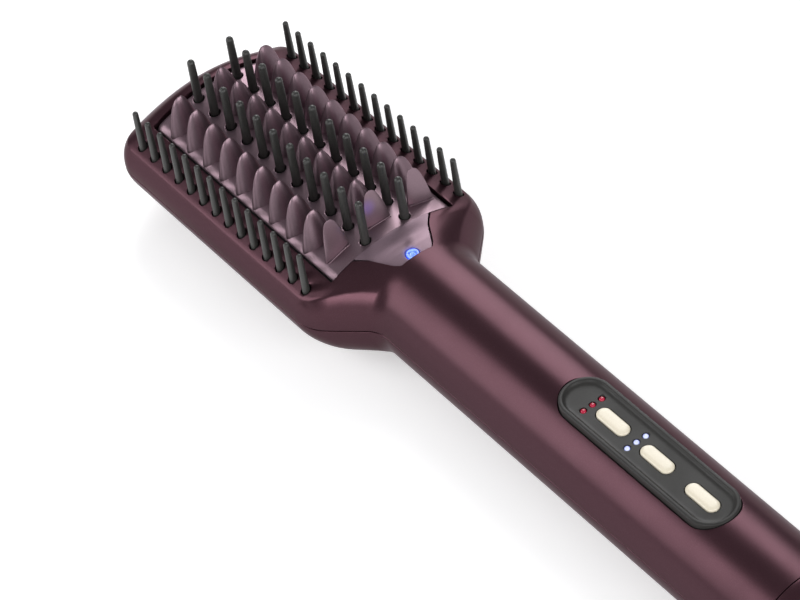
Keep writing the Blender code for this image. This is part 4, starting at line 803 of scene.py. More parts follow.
def opening(outline: list[Vector], lip: float, depth: float, surface: Height) -> bmesh.types.BMesh:
    """A cutter that leaves a rounded lip round an opening in a curved surface.

    Args:
        outline: The opening, counter-clockwise.
        lip: Radius of the lip.
        depth: How deep the cutter reaches.
        surface: Height of the surface.

    Returns:
        The cutter.
    """
    levels = [Level(0, -depth)]
    for angle in LIP_ANGLES:
        turn = math.radians(angle)
        levels.append(Level(lip * (1 - math.cos(turn)), -lip * (1 - math.sin(turn))))
    levels.append(Level(lip * LIP_FLARE_SHARE, lip * LIP_RISE_SHARE))
    levels.append(Level(lip * LIP_TOP_SHARE, depth))
    return stacked(outline, levels, surface)


def spun(profile: Profile | list[tuple[float, float]], centre: Vector, steps: int,
         lying: bool = False) -> bmesh.types.BMesh:
    """A turned body from a profile of radius and height.

    Args:
        profile: Radius and height of each point, with both ends on the axis or closed on itself.
        centre: Where the axis' zero height is.
        steps: Number of steps round.
        lying: Whether the axis lies along the brush, with height towards the tip.

    Returns:
        The body.
    """
    shape = bmesh.new()
    verts = [shape.verts.new((radius, 0, height)) for radius, height in profile]
    edges = [shape.edges.new(pair) for pair in zip(verts, verts[1:])]
    if profile[0][0] > 0 and profile[-1][0] > 0:
        edges.append(shape.edges.new((verts[-1], verts[0])))
    bmesh.ops.spin(shape, geom=verts + edges, cent=(0, 0, 0), axis=(0, 0, 1), angle=math.tau, steps=steps,
                   use_merge=True, use_duplicate=False)
    bmesh.ops.remove_doubles(shape, verts=shape.verts, dist=1e-7)
    bmesh.ops.recalc_face_normals(shape, faces=shape.faces)
    if lying:
        quarter = Matrix.Rotation(-math.pi / 2, 3, "X")
        bmesh.ops.rotate(shape, cent=(0, 0, 0), matrix=quarter, verts=shape.verts)
    bmesh.ops.translate(shape, vec=centre, verts=shape.verts)
    return shape


def round_profile(radius: float, bottom: float, top: float, base: float,
                  steps: int) -> list[tuple[float, float]]:
    """Profile of a tapering pin with a half-round end.

    Args:
        radius: Radius under the round end.
        bottom: Height of the lower end.
        top: Height of the tip.
        base: Radius at the lower end.
        steps: Number of steps in the round.

    Returns:
        Radius and height of each point, from the tip down to the axis.
    """
    arc = [math.pi / 2 * index / steps for index in range(steps + 1)]
    tip = [(radius * math.sin(turn), top - radius * (1 - math.cos(turn))) for turn in arc]
    return tip + [(base, bottom), (0, bottom)]


def block(low: Vector, high: Vector, bevel: float) -> bmesh.types.BMesh:
    """A block between two corners, with rounded edges.

    Args:
        low: Lowest corner.
        high: Highest corner.
        bevel: Width of the edges' round.

    Returns:
        The block.
    """
    shape = bmesh.new()
    bmesh.ops.create_cube(shape, size=1)
    bmesh.ops.scale(shape, vec=high - low, verts=shape.verts)
    bmesh.ops.translate(shape, vec=(low + high) / 2, verts=shape.verts)
    bmesh.ops.bevel(shape, geom=shape.edges[:], offset=bevel, segments=3, profile=0.5, affect="EDGES",
                    material=-1)
    return shape


def face_up(shape: bmesh.types.BMesh) -> None:
    """Turn the faces of an open sheet upwards.

    Args:
        shape: The sheet.
    """
    bmesh.ops.recalc_face_normals(shape, faces=shape.faces)
    if sum(face.normal.z for face in shape.faces) < 0:
        bmesh.ops.reverse_faces(shape, faces=shape.faces)


def joined(*shapes: bmesh.types.BMesh) -> bmesh.types.BMesh:
    """One bmesh of several bodies, which are freed.

    Args:
        shapes: The bodies.

    Returns:
        A bmesh with all of them.
    """
    whole = bmesh.new()
    for shape in shapes:
        mesh = as_mesh(shape, "part")
        whole.from_mesh(mesh)
        bpy.data.meshes.remove(mesh)
    return whole


def as_mesh(shape: bmesh.types.BMesh, name: str) -> bpy.types.Mesh:
    """A mesh data block from a bmesh, which is freed.

    Args:
        shape: The bmesh.
        name: Name of the mesh.

    Returns:
        The mesh.
    """
    mesh = bpy.data.meshes.new(name)
    shape.to_mesh(mesh)
    shape.free()
    return mesh


def as_bmesh(mesh: bpy.types.Mesh) -> bmesh.types.BMesh:
    """A bmesh from a mesh data block.

    Args:
        mesh: The mesh.

    Returns:
        The bmesh.
    """
    shape = bmesh.new()
    shape.from_mesh(mesh)
    return shape


def evaluated(obj: bpy.types.Object, name: str) -> bpy.types.Mesh:
    """The mesh of an object with its modifiers applied. The object is removed.

    Args:
        obj: The object.
        name: Name of the new mesh.

    Returns:
        The mesh.
    """
    graph = bpy.context.evaluated_depsgraph_get()
    mesh = bpy.data.meshes.new_from_object(obj.evaluated_get(graph), depsgraph=graph)
    mesh.name = name
    bpy.data.objects.remove(obj, do_unlink=True)
    return mesh


def carved(mesh: bpy.types.Mesh, cutters: list[bmesh.types.BMesh],
           wall: float = 0.0) -> bpy.types.Mesh:
    """A mesh that gets its wall, and is then cut with other bodies.

    Args:
        mesh: The mesh to cut.
        cutters: The bodies to take away, none touching another.
        wall: Thickness to give the mesh first, or 0 for a closed body.

    Returns:
        The cut mesh.
    """
    obj = bpy.data.objects.new("blank", mesh)
    bpy.context.scene.collection.objects.link(obj)
    if wall > 0:
        solid = obj.modifiers.new("Wall", "SOLIDIFY")
        solid.thickness = wall
        solid.offset = -1
        solid.use_even_offset = True
    tools = []
    for cutter in cutters:
        tool = bpy.data.objects.new("cutter", as_mesh(cutter, "cutter"))
        bpy.context.scene.collection.objects.link(tool)
        cut = obj.modifiers.new("Cut", "BOOLEAN")
        cut.operation = "DIFFERENCE"
        cut.solver = "EXACT"
        cut.object = tool
        tools.append(tool)
    bpy.context.view_layer.update()
    result = evaluated(obj, mesh.name)
    for tool in tools:
        bpy.data.objects.remove(tool, do_unlink=True)
    return result


def show(name: str, mesh: bpy.types.Mesh, finish: Finish, body: Body, replaced: str,
         sharp: float = 32.0) -> None:
    """Put a finished piece in the scene, on its body, with its finish.

    Args:
        name: Name of the piece.
        mesh: Its mesh, in place.
        finish: Its finish.
        body: The body it rides on.
        replaced: The CAD node that it stands for.
        sharp: Edges steeper than this many degrees stay sharp.
    """
    obj = bpy.data.objects.new(name, mesh)
    bpy.context.scene.collection.objects.link(obj)
    mesh.materials.clear()
    mesh.materials.append(finish.material())
    mesh.shade_smooth()
    mesh.set_sharp_from_angle(angle=math.radians(sharp))
    even = obj.modifiers.new("Even", "WEIGHTED_NORMAL")
    even.keep_sharp = True
    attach(obj, body.value)
    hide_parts(replaced)
    LOG.info("%s: %d faces on %s", name, len(mesh.polygons), body.value)


@dataclass
class Casing:
    """The two halves of the casing, with their openings, screw wells and inner bosses."""

    wall: float = 0.0021
    opening_half_width: float = 0.0237
    opening_far_y: float = 0.14645
    mouth_y: float = 0.04915
    mouth_half_width: float = 0.0151
    waist_y: float = 0.04493
    waist_half_width: float = 0.0115
    end_y: float = 0.03565
    end_half_width: float = 0.0075
    end_corner_rise: float = 0.0018
    end_corner_inset: float = 0.0016
    corner_rounds: tuple[float, ...] = (0.0004, 0.0006, 0.0090, 0.0014, 0.0012)
    outline_step: float = 0.0010
    probe_z: float = 0.1
    lip: float = 0.00028
    inlay_lip: float = 0.0002
    pin_hole_lip: float = 0.00015
    plate_opening_depth: float = 0.0075
    inlay_opening_depth: float = 0.0058
    pin_hole_depth: float = 0.0040
    seam_edge: Profile = ((0.00030, 0.0), (0.00012, 0.00006), (0.00003, 0.00018))
    seam_wall: float = 0.0004
    wall_rows: int = 12
    top_rows: int = 30
    side_rows: int = 24
    side_start_share: float = 0.03
    flat_rows: int = 6
    turned_steps: int = 32
    inlay_half_width: float = 0.0088
    inlay_front_y: float = -0.03905
    inlay_end_y: float = -0.11415
    pin_hole_radius: float = 0.00175
    boss_radius: float = 0.0032
    boss_bore: float = 0.0015
    boss_ys: tuple[float, ...] = (0.02415, -0.0076, -0.13235)
    well_radius: float = 0.0026
    well_depth: float = 0.0045
    well_top: float = 0.0057
    seat_bottom: float = 0.0012
    seat_thickness: float = 0.0002
    recess_turn: float = 0.3
    recess_reach: float = 0.00125
    recess_half_width: float = 0.00022
    recess_zs: tuple[float, float] = (0.0035, 0.00495)
    recess_round: float = 0.00008
    screw_section: Profile = (
        (0, 0.00405), (0.0016, 0.00409), (0.0021, 0.00428), (0.0023, 0.00462), (0.0023, 0.0053),
        (0.0013, 0.0054), (0.0012, 0.0240), (0.0004, 0.0264), (0, 0.0266))
    crown: BVHTree | None = None

    def share_rows(self, half: Half) -> list[tuple[float, float, float]]:
        """Rows of points from the parting line to the middle line.

        Args:
            half: Which half.

        Returns:
            For each row the share along the strip, and for the rows of the round edge at the
            parting line how far in they are and how far from it, or zeros.
        """
        gap = SHAPE.seam_gap
        edge = [(-1.0, inset, gap + rise) for inset, rise in self.seam_edge]
        if half is Half.FRONT:
            wall = [(step / self.wall_rows, 0.0, 0.0) for step in range(self.wall_rows + 1)]
            top = [(1 + step / self.top_rows, 0.0, 0.0) for step in range(1, self.top_rows + 1)]
            return edge + [(-1.0, 0.0, gap + self.seam_wall)] + wall + top
        start = self.side_start_share
        side = [(start + (1 - start) * step / self.side_rows, 0.0, 0.0) for step in range(self.side_rows + 1)]
        return edge + side + [(1 + step / self.flat_rows, 0.0, 0.0) for step in range(1, self.flat_rows + 1)]

    def skin(self, half: Half) -> bmesh.types.BMesh:
        """The outer surface of one half, before its wall and its openings.

        Args:
            half: Which half.

        Returns:
            An open surface whose faces point out.
        """
        stations = SHAPE.stations()
        rows = self.share_rows(half)
        across, along = len(rows) - 1, len(stations) - 1
        shape = bmesh.new()
        bmesh.ops.create_grid(shape, x_segments=2 * across, y_segments=along, size=1)
        sign = 1 if half is Half.FRONT else -1
        for vert in shape.verts:
            column = round(vert.co.x * across)
            point, inward = stations[round((vert.co.y + 1) / 2 * along)]
            share, inset, height = rows[across - abs(column)]
            if share < 0:
                plan = point + inward * inset
                place = Vector((plan.x, plan.y, SHAPE.seam_z + sign * height))
            elif half is Half.FRONT:
                place = SHAPE.front_point(point, inward, share)
            else:
                place = SHAPE.back_point(point, share)
            vert.co = (place.x if column >= 0 else -place.x, place.y, place.z)
        bmesh.ops.remove_doubles(shape, verts=shape.verts, dist=2e-5)
        bmesh.ops.dissolve_degenerate(shape, dist=1e-6, edges=shape.edges)
        bmesh.ops.recalc_face_normals(shape, faces=shape.faces)
        shape.faces.ensure_lookup_table()
        outer = max(shape.faces, key=lambda face: face.calc_center_median().z * sign)
        if outer.normal.z * sign < 0:
            bmesh.ops.reverse_faces(shape, faces=shape.faces)
        return shape

    def height(self, x: float, y: float) -> float:
        """Height of the front half's surface, before its openings.

        Args:
            x: Distance from the middle line.
            y: Place along the brush.

        Returns:
            The height, or the crown's where there is no surface.
        """
        above = Vector((x, y, self.probe_z))
        hit = self.crown.ray_cast(above, Vector((0, 0, -1)))[0] if self.crown else None
        return hit.z if hit else SHAPE.crown_z

    def head_opening(self) -> list[Vector]:
        """Outline of the opening for the heating plate and the apron.

        Returns:
            The points, counter-clockwise.
        """
        places = ((self.opening_half_width, self.mouth_y), (self.mouth_half_width, self.mouth_y),
                  (self.waist_half_width, self.waist_y),
                  (self.end_half_width, self.end_y + self.end_corner_rise),
                  (self.end_half_width - self.end_corner_inset, self.end_y))
        right = [(x, y, radius) for (x, y), radius in zip(places, self.corner_rounds)]
        left = [(-x, y, radius) for x, y, radius in right]
        far_round = self.corner_rounds[-1]
        far = [(side * self.opening_half_width, self.opening_far_y, far_round) for side in (1, -1)]
        return rounded_outline(far + left + right[::-1], self.outline_step)

    def bosses(self, half: Half) -> list[bmesh.types.BMesh]:
        """Screw bosses inside one half, as tubes.

        Args:
            half: Which half.

        Returns:
            The tubes.
        """
        low, high = SHAPE.seam_z + SHAPE.seam_gap, SHAPE.crown_z - self.wall / 2
        if half is Half.BACK:
            low, high = self.well_top, SHAPE.seam_z - SHAPE.seam_gap
        profile = [(self.boss_bore, low), (self.boss_radius, low), (self.boss_radius, high),
                   (self.boss_bore, high)]
        return [spun(profile, Vector((0, y, 0)), self.turned_steps) for y in self.boss_ys]

    def front(self, pins: list[tuple[float, float]]) -> None:
        """Build the front half.

        Args:
            pins: X and y of each outer pin.
        """
        skin = self.skin(Half.FRONT)
        self.crown = BVHTree.FromBMesh(skin)
        openings = [opening(self.head_opening(), self.lip, self.plate_opening_depth, self.height)]
        inlay = racetrack(self.inlay_half_width, self.inlay_front_y, self.inlay_end_y)
        openings.append(opening(inlay, self.inlay_lip, self.inlay_opening_depth, self.height))
        for x, y in pins:
            hole = circle(self.pin_hole_radius, x, y, 20)
            openings.append(opening(hole, self.pin_hole_lip, self.pin_hole_depth, self.height))
        mesh = carved(as_mesh(skin, "front_casing"), [joined(*openings)], self.wall)
        whole = as_mesh(joined(as_bmesh(mesh), *self.bosses(Half.FRONT)), "front_casing")
        show("front_casing", whole, Finishes.PLUM, Body.CASING, "front_shell", 40)

    def back(self) -> None:
        """Build the back half, with wells for the screws."""
        skin = self.skin(Half.BACK)
        well, outer, bore = self.well_radius, self.boss_radius, self.boss_bore
        profile = [(0, -0.002), (well + 0.0012, -0.002), (well + 0.0004, 0.00003), (well + 0.00014, 0.00012),
                   (well, 0.00035), (well, self.well_depth), (0, self.well_depth)]
        wells = [spun(profile, Vector((0, y, 0)), self.turned_steps) for y in self.boss_ys]
        mesh = carved(as_mesh(skin, "back_casing"), [joined(*wells)], self.wall)
        low, high = self.well_top, self.well_top + self.seat_thickness
        seat = [(well, self.seat_bottom), (outer, self.seat_bottom), (outer, high), (bore, high), (bore, low),
                (well, low)]
        tubes = [spun(seat, Vector((0, y, 0)), self.turned_steps) for y in self.boss_ys]
        whole = as_mesh(joined(as_bmesh(mesh), *tubes, *self.bosses(Half.BACK)), "back_casing")
        show("back_casing", whole, Finishes.PLUM, Body.CASING, "back_shell", 40)

    def screws(self) -> None:
        """Build the casing screws, with a cross recess in each head."""
        reach, half_width, (low, high) = self.recess_reach, self.recess_half_width, self.recess_zs
        for place, y in zip(("neck", "middle", "tail"), self.boss_ys):
            body = as_mesh(spun(self.screw_section, Vector((0, y, 0)), 40), "casing_screw")
            arms = []
            for turn in (self.recess_turn, self.recess_turn + math.pi / 2):
                arm = block(Vector((-reach, -half_width, low)), Vector((reach, half_width, high)),
                            self.recess_round)
                spin = Matrix.Rotation(turn, 3, "Z")
                bmesh.ops.rotate(arm, cent=(0, 0, 0), matrix=spin, verts=arm.verts)
                bmesh.ops.translate(arm, vec=(0, y, 0), verts=arm.verts)
                arms.append(arm)
            mesh = carved(body, arms)
            show("screw_" + place, mesh, Finishes.STEEL, Body.CASING, "casing_screw_" + place)


@dataclass(frozen=True)
class Flank:
    """One half of a fin's ridge, from the apex down to the plate.

    The ridge's distance from the apex is its reach times a power of the share left to the apex.
    """

    reach: float
    power: float


@dataclass
class HeatingPlate:
    """The domed heating plate with its thirty fins and the holes for the inner pins."""

    half_width: float = 0.0228
    near_y: float = 0.04919
    far_y: float = 0.14555
    thickness: float = 0.0021
    side_fall: float = 0.00125
    side_reach: float = 0.0021
    far_fall: float = 0.0009
    pitch: float = 0.0090
    rows: int = 11
    last_pin_y: float = 0.05195
    pin_x: float = 0.00763
    hole_radius: float = 0.0019
    hole_lip: float = 0.00015
    hole_depth: float = 0.0045
    column_x: float = 0.0161
    fin_half_thickness: float = 0.0039
    fin_thinning: float = 0.68
    fin_lens: float = 0.64
    fin_sink: float = 0.0008
    outer_flank: Flank = Flank(0.0065, 0.38)
    inner_flank: Flank = Flank(0.0047, 0.58)
    middle_flank: Flank = Flank(0.0052, 0.50)
    last_flank: Flank = Flank(0.0047, 0.36)
    fin_roundness: float = 1.3
    last_lean: float = 0.0024
    last_lean_power: float = 1.4
    last_front_share: float = 0.16
    last_extra_rise: float = 0.0006
    bead_half_length: float = 0.0044
    bead_half_width: float = 0.00024
    bead_zs: tuple[float, float] = (-0.0004, 0.00034)
    bead_setback: float = 0.0006
    side_rise: float = 0.0118
    middle_rise: float = 0.0110
    last_fin_shift: float = 0.00115
    rib_half_width: float = 0.0046
    rib_inset: float = 0.006
    rib_z: float = 0.0315
    grid: tuple[int, int] = (76, 120)
    crowding: tuple[float, float] = (0.09, 0.06)
    edge_round: float = 0.0003
    bead_round: float = 0.00015

    def surface(self, x: float, y: float) -> float:
        """Height of the plate, which rolls down at its long edges and its far end.

        Args:
            x: Distance from the middle line.
            y: Place along the brush.

        Returns:
            The height.
        """
        side = max(0.0, 1 - (self.half_width - abs(x)) / self.side_reach)
        far = max(0.0, 1 - (self.far_y - y) / self.side_reach)
        return SHAPE.dome_z(x) - self.side_fall * side ** 2 - self.far_fall * far ** 2

    def pin_ys(self) -> tuple[float, ...]:
        """Y of the inner pins."""
        return tuple(self.last_pin_y + row * self.pitch for row in range(self.rows))

    def pins(self) -> list[tuple[float, float]]:
        """X and y of each inner pin."""
        return [(side.value * self.pin_x, y) for side in Side for y in self.pin_ys()]

    def plate(self) -> bpy.types.Mesh:
        """The domed sheet with its holes.

        Returns:
            The mesh.
        """
        shape = bmesh.new()
        bmesh.ops.create_grid(shape, x_segments=self.grid[0], y_segments=self.grid[1], size=1)
        middle, reach = (self.near_y + self.far_y) / 2, (self.far_y - self.near_y) / 2
        for vert in shape.verts:
            even_x, even_y = vert.co.x, vert.co.y
            x = self.half_width * (even_x + self.crowding[0] * math.sin(math.pi * even_x))
            y = middle + reach * (even_y + self.crowding[1] * math.sin(math.pi * even_y))
            vert.co = (x, y, self.surface(x, y))
        face_up(shape)
        rims = [circle(self.hole_radius, x, y, 28) for x, y in self.pins()]
        holes = [opening(rim, self.hole_lip, self.hole_depth, self.surface) for rim in rims]
        return carved(as_mesh(shape, "heating_plate"), [joined(*holes)], self.thickness)

    def flank(self, column: int, side: int, last: bool) -> Flank:
        """The half of a fin's ridge that falls to one side.

        Args:
            column: -1, 0 or 1 for the left, the middle or the right column.
            side: -1 for the half to the left of the apex, 1 for the other.
            last: Whether the fin is the last of its column.

        Returns:
            The flank.
        """
        if last:
            return self.last_flank
        if column == 0:
            return self.middle_flank
        return self.outer_flank if column == side else self.inner_flank

    def fin(self, column: int, y: float, rise: float, last: bool) -> bmesh.types.BMesh:
        """One petal-shaped fin.

        Args:
            column: -1, 0 or 1 for the left, the middle or the right column.
            y: Its middle along the brush.
            rise: Height of its apex over the plate.
            last: Whether it is the last of its column, which leans back from a nearly flat face.

        Returns:
            The fin, closed.
        """
        shape = bmesh.new()
        bmesh.ops.create_uvsphere(shape, u_segments=40, v_segments=36, radius=1)
        everything = shape.verts[:] + shape.edges[:] + shape.faces[:]
        cut = bmesh.ops.bisect_plane(shape, geom=everything, dist=1e-5, plane_co=(0, 0, 0),
                                     plane_no=(0, 0, -1), clear_outer=True)
        rim = [item for item in cut["geom_cut"] if isinstance(item, bmesh.types.BMEdge)]
        bmesh.ops.contextual_create(shape, geom=rim)
        x = column * self.column_x
        apex = SHAPE.dome_z(x) + rise
        front = self.fin_half_thickness * (self.last_front_share if last else 1.0)
        for vert in shape.verts:
            left = max(0.0, 1 - vert.co.z) ** self.fin_roundness if vert.co.z > 1e-4 else 1.0
            turn = math.atan2(vert.co.y, vert.co.x)
            along = math.cos(turn)
            flank = self.flank(column, 1 if along > 0 else -1, last)
            px = x + along * flank.reach * left ** flank.power
            depth = self.fin_half_thickness if turn > 0 else front
            lens = max(0.0, 1 - along * along) ** self.fin_lens
            py = y + math.copysign(depth * lens * left ** self.fin_thinning, turn)
            if last:
                py += self.last_lean * (1 - left) ** self.last_lean_power
            foot = self.surface(px, py) - self.fin_sink
            vert.co = (px, py, foot + (apex - foot) * (1 - left))
        bmesh.ops.recalc_face_normals(shape, faces=shape.faces)
        return shape

    def foot_bead(self, x: float, y: float) -> bmesh.types.BMesh:
        """The fine bead along the foot of a last fin, on its side to the handle.

        Args:
            x: The fin's middle across the brush.
            y: Y of the fin's flat side.

        Returns:
            The bead, closed.
        """
        low, high = self.bead_zs
        shape = block(Vector((x - self.bead_half_length, -self.bead_half_width, low)),
                      Vector((x + self.bead_half_length, self.bead_half_width, high)), self.bead_round)
        long_edges = [edge for edge in shape.edges if edge.calc_length() > self.bead_half_length]
        bmesh.ops.subdivide_edges(shape, edges=long_edges, cuts=20)
        for vert in shape.verts:
            vert.co.y += y - self.bead_setback
            vert.co.z += self.surface(vert.co.x, vert.co.y)
        return shape

    def build(self) -> None:
        """Build the plate with its fins, its rib and the beads of its last fins."""
        parts = [as_bmesh(self.plate())]
        for column, rise in ((-1, self.side_rise), (0, self.middle_rise), (1, self.side_rise)):
            x = column * self.column_x
            for row in range(self.rows - 1):
                y = self.last_pin_y + (row + 0.5) * self.pitch
                last = row == 0
                if last:
                    y -= self.last_fin_shift
                    parts.append(self.foot_bead(x, y))
                parts.append(self.fin(column, y, rise + (self.last_extra_rise if last else 0), last))
        rib_top = SHAPE.crown_z - self.thickness * 0.8
        rib = block(Vector((-self.rib_half_width, self.near_y + self.rib_inset, self.rib_z)),
                    Vector((self.rib_half_width, self.far_y - self.rib_inset, rib_top)), self.edge_round)
        mesh = as_mesh(joined(*parts, rib), "heating_plate")
        show("finned_plate", mesh, Finishes.PLATE, Body.CASING, "heating_plate", 38)


@dataclass
class PinRow:
    """One moulded strip of pins on a bar."""

    side: Side
    place: str
    x: float
    ys: tuple[float, ...]
    tip_z: float
    tip_radius: float
    base_radius: float
    bar_z: tuple[float, float]
    bar_half_width: float
    bar_shift: float = 0.0
    bar_end: float = 0.0019
    bar_round: float = 0.0003
    foot_rise: float = 0.0005

    def build(self) -> None:
        """Build the strip and its pins."""
        x = self.side.value * self.x
        low, high = self.bar_z
        profile = round_profile(self.tip_radius, low + self.foot_rise, self.tip_z, self.base_radius, 8)
        parts = [spun(profile, Vector((x, y, 0)), 24) for y in self.ys]
        middle = x - self.side.value * self.bar_shift
        near = Vector((middle - self.bar_half_width, self.ys[0] - self.bar_end, low))
        far = Vector((middle + self.bar_half_width, self.ys[-1] + self.bar_end, high))
        parts.append(block(near, far, self.bar_round))
        name = f"{self.place}_pins_{self.side.name.lower()}"
        node = f"{self.place}_pin_strip_{self.side.name.lower()}"
        show(name, as_mesh(joined(*parts), name), Finishes.NYLON, Body.CASING, node)


@dataclass
class PinField:
    """The four rows of pins: two through the heating plate and two through the casing."""

    inner_ys: tuple[float, ...]
    inner_x: float
    inner_rise: float = 0.0167
    inner_drop: float = 0.0024
    inner_bar_height: float = 0.0022
    inner_bar_half_width: float = 0.0020
    outer_x: float = 0.02975
    outer_rise: float = 0.0151
    outer_drops: tuple[float, float] = (0.0067, 0.0045)
    outer_start_y: float = 0.05485
    outer_pitch: float = 0.006864
    outer_count: int = 14

    def outer_ys(self) -> tuple[float, ...]:
        """Y of the outer pins."""
        return tuple(self.outer_start_y + index * self.outer_pitch for index in range(self.outer_count))

    def outer_pins(self) -> list[tuple[float, float]]:
        """X and y of each outer pin."""
        return [(side.value * self.outer_x, y) for side in Side for y in self.outer_ys()]

    def build(self) -> None:
        """Build the four rows."""
        surface = SHAPE.dome_z(self.outer_x)
        outer_bar = (surface - self.outer_drops[0], surface - self.outer_drops[1])
        inner_tip = SHAPE.dome_z(self.inner_x) + self.inner_rise
        inner_top = SHAPE.dome_z(self.inner_x + self.inner_bar_half_width) - self.inner_drop
        inner_bar = (inner_top - self.inner_bar_height, inner_top)
        for side in Side:
            PinRow(side, "outer", self.outer_x, self.outer_ys(), surface + self.outer_rise,
                   tip_radius=0.00095, base_radius=0.0014, bar_z=outer_bar, bar_half_width=0.0016,
                   bar_shift=0.0005).build()
            PinRow(side, "inner", self.inner_x, self.inner_ys, inner_tip, tip_radius=0.00125,
                   base_radius=0.00155, bar_z=inner_bar, bar_half_width=self.inner_bar_half_width).build()


@dataclass
class Apron:
    """The sloping panel between the plate and the handle, with the lit ion outlet."""

    start_y: float = 0.04914
    end_y: float = 0.03595
    depth: float = 0.0058
    slope: float = 0.141
    clearance: float = 0.0003
    outlet_y: float = 0.03805
    outlet_radius: float = 0.0021
    outlet_bore: float = 0.00125
    basin_end_y: float = 0.0402
    basin_half_width: float = 0.0125
    basin_depth: float = 0.0006
    crowding: float = 1.35
    wall_share: float = 0.62
    mouth_inset: float = 0.0007
    hole_lip: float = 0.0002
    hole_depth: float = 0.0080
    grid: tuple[int, int] = (60, 56)

    def surface(self, x: float, y: float) -> float:
        """Height of the apron, which slopes down to the handle with a shallow basin in its middle.

        Args:
            x: Distance from the middle line.
            y: Place along the brush.

        Returns:
            The height.
        """
        share = min(1.0, max(0.0, (self.start_y - y) / (self.start_y - self.basin_end_y)))
        across = max(0.0, 1 - (x / self.basin_half_width) ** 2)
        basin = self.basin_depth * math.sin(math.pi * share) ** 2 * across
        return SHAPE.dome_z(x) - (self.start_y - y) * self.slope - basin

    def half_width(self, outline: list[Vector], y: float) -> float:
        """Half width of an outline at a place along the brush.

        Args:
            outline: The closed outline.
            y: The place.

        Returns:
            The largest distance from the middle line.
        """
        found = 0.0
        for before, after in zip(outline, outline[1:] + outline[:1]):
            if min(before.y, after.y) <= y < max(before.y, after.y):
                found = max(found, before.lerp(after, (y - before.y) / (after.y - before.y)).x)
        return found

    def build(self, outline: list[Vector]) -> None:
        """Build the panel and its outlet.

        Args:
            outline: The opening in the casing.
        """
        shape = bmesh.new()
        bmesh.ops.create_grid(shape, x_segments=self.grid[0], y_segments=self.grid[1], size=1)
        low, high = self.end_y, self.start_y
        for vert in shape.verts:
            share = (vert.co.y + 1) / 2
            y = low + (high - low) * share ** self.crowding
            beside = min(max(y - self.clearance, low - self.clearance * 0.8), high - self.mouth_inset)
            x = vert.co.x * (self.half_width(outline, beside) - self.clearance)
            vert.co = (x, y, self.surface(x, y))
        face_up(shape)
        spot = circle(self.outlet_radius + self.clearance, 0, self.outlet_y, 40)
        hole = opening(spot, self.hole_lip, self.hole_depth, self.surface)
        mesh = carved(as_mesh(shape, "ion_apron_panel"), [hole], self.depth * self.wall_share)
        show("apron_panel", mesh, Finishes.APRON, Body.CASING, "ion_apron", 40)
        self.outlet()

    def outlet(self) -> None:
        """Build the lit ring and the lens inside it."""
        top = self.surface(0, self.outlet_y) + 0.00029
        bottom = SHAPE.crown_z - self.depth
        outer, bore = self.outlet_radius, self.outlet_bore
        ring = [(bore, top - 0.00025), (bore + 0.00008, top - 0.00008), (bore + 0.00025, top),
                (outer - 0.0003, top), (outer - 0.0001, top - 0.00009), (outer, top - 0.0003),
                (outer, bottom), (bore, bottom)]
        inner, edge = 0.00045, bore - 0.00003
        lens = [(inner, top - 0.00050), (0.0008, top - 0.00042), (edge, top - 0.00062), (edge, top - 0.0012),
                (inner, top - 0.0012)]
        centre = Vector((0, self.outlet_y, 0))
        mesh = as_mesh(joined(spun(ring, centre, 48), spun(lens, centre, 40)), "outlet_ring")
        show("outlet_ring", mesh, Finishes.ION_LIGHT, Body.CASING, "ion_outlet")


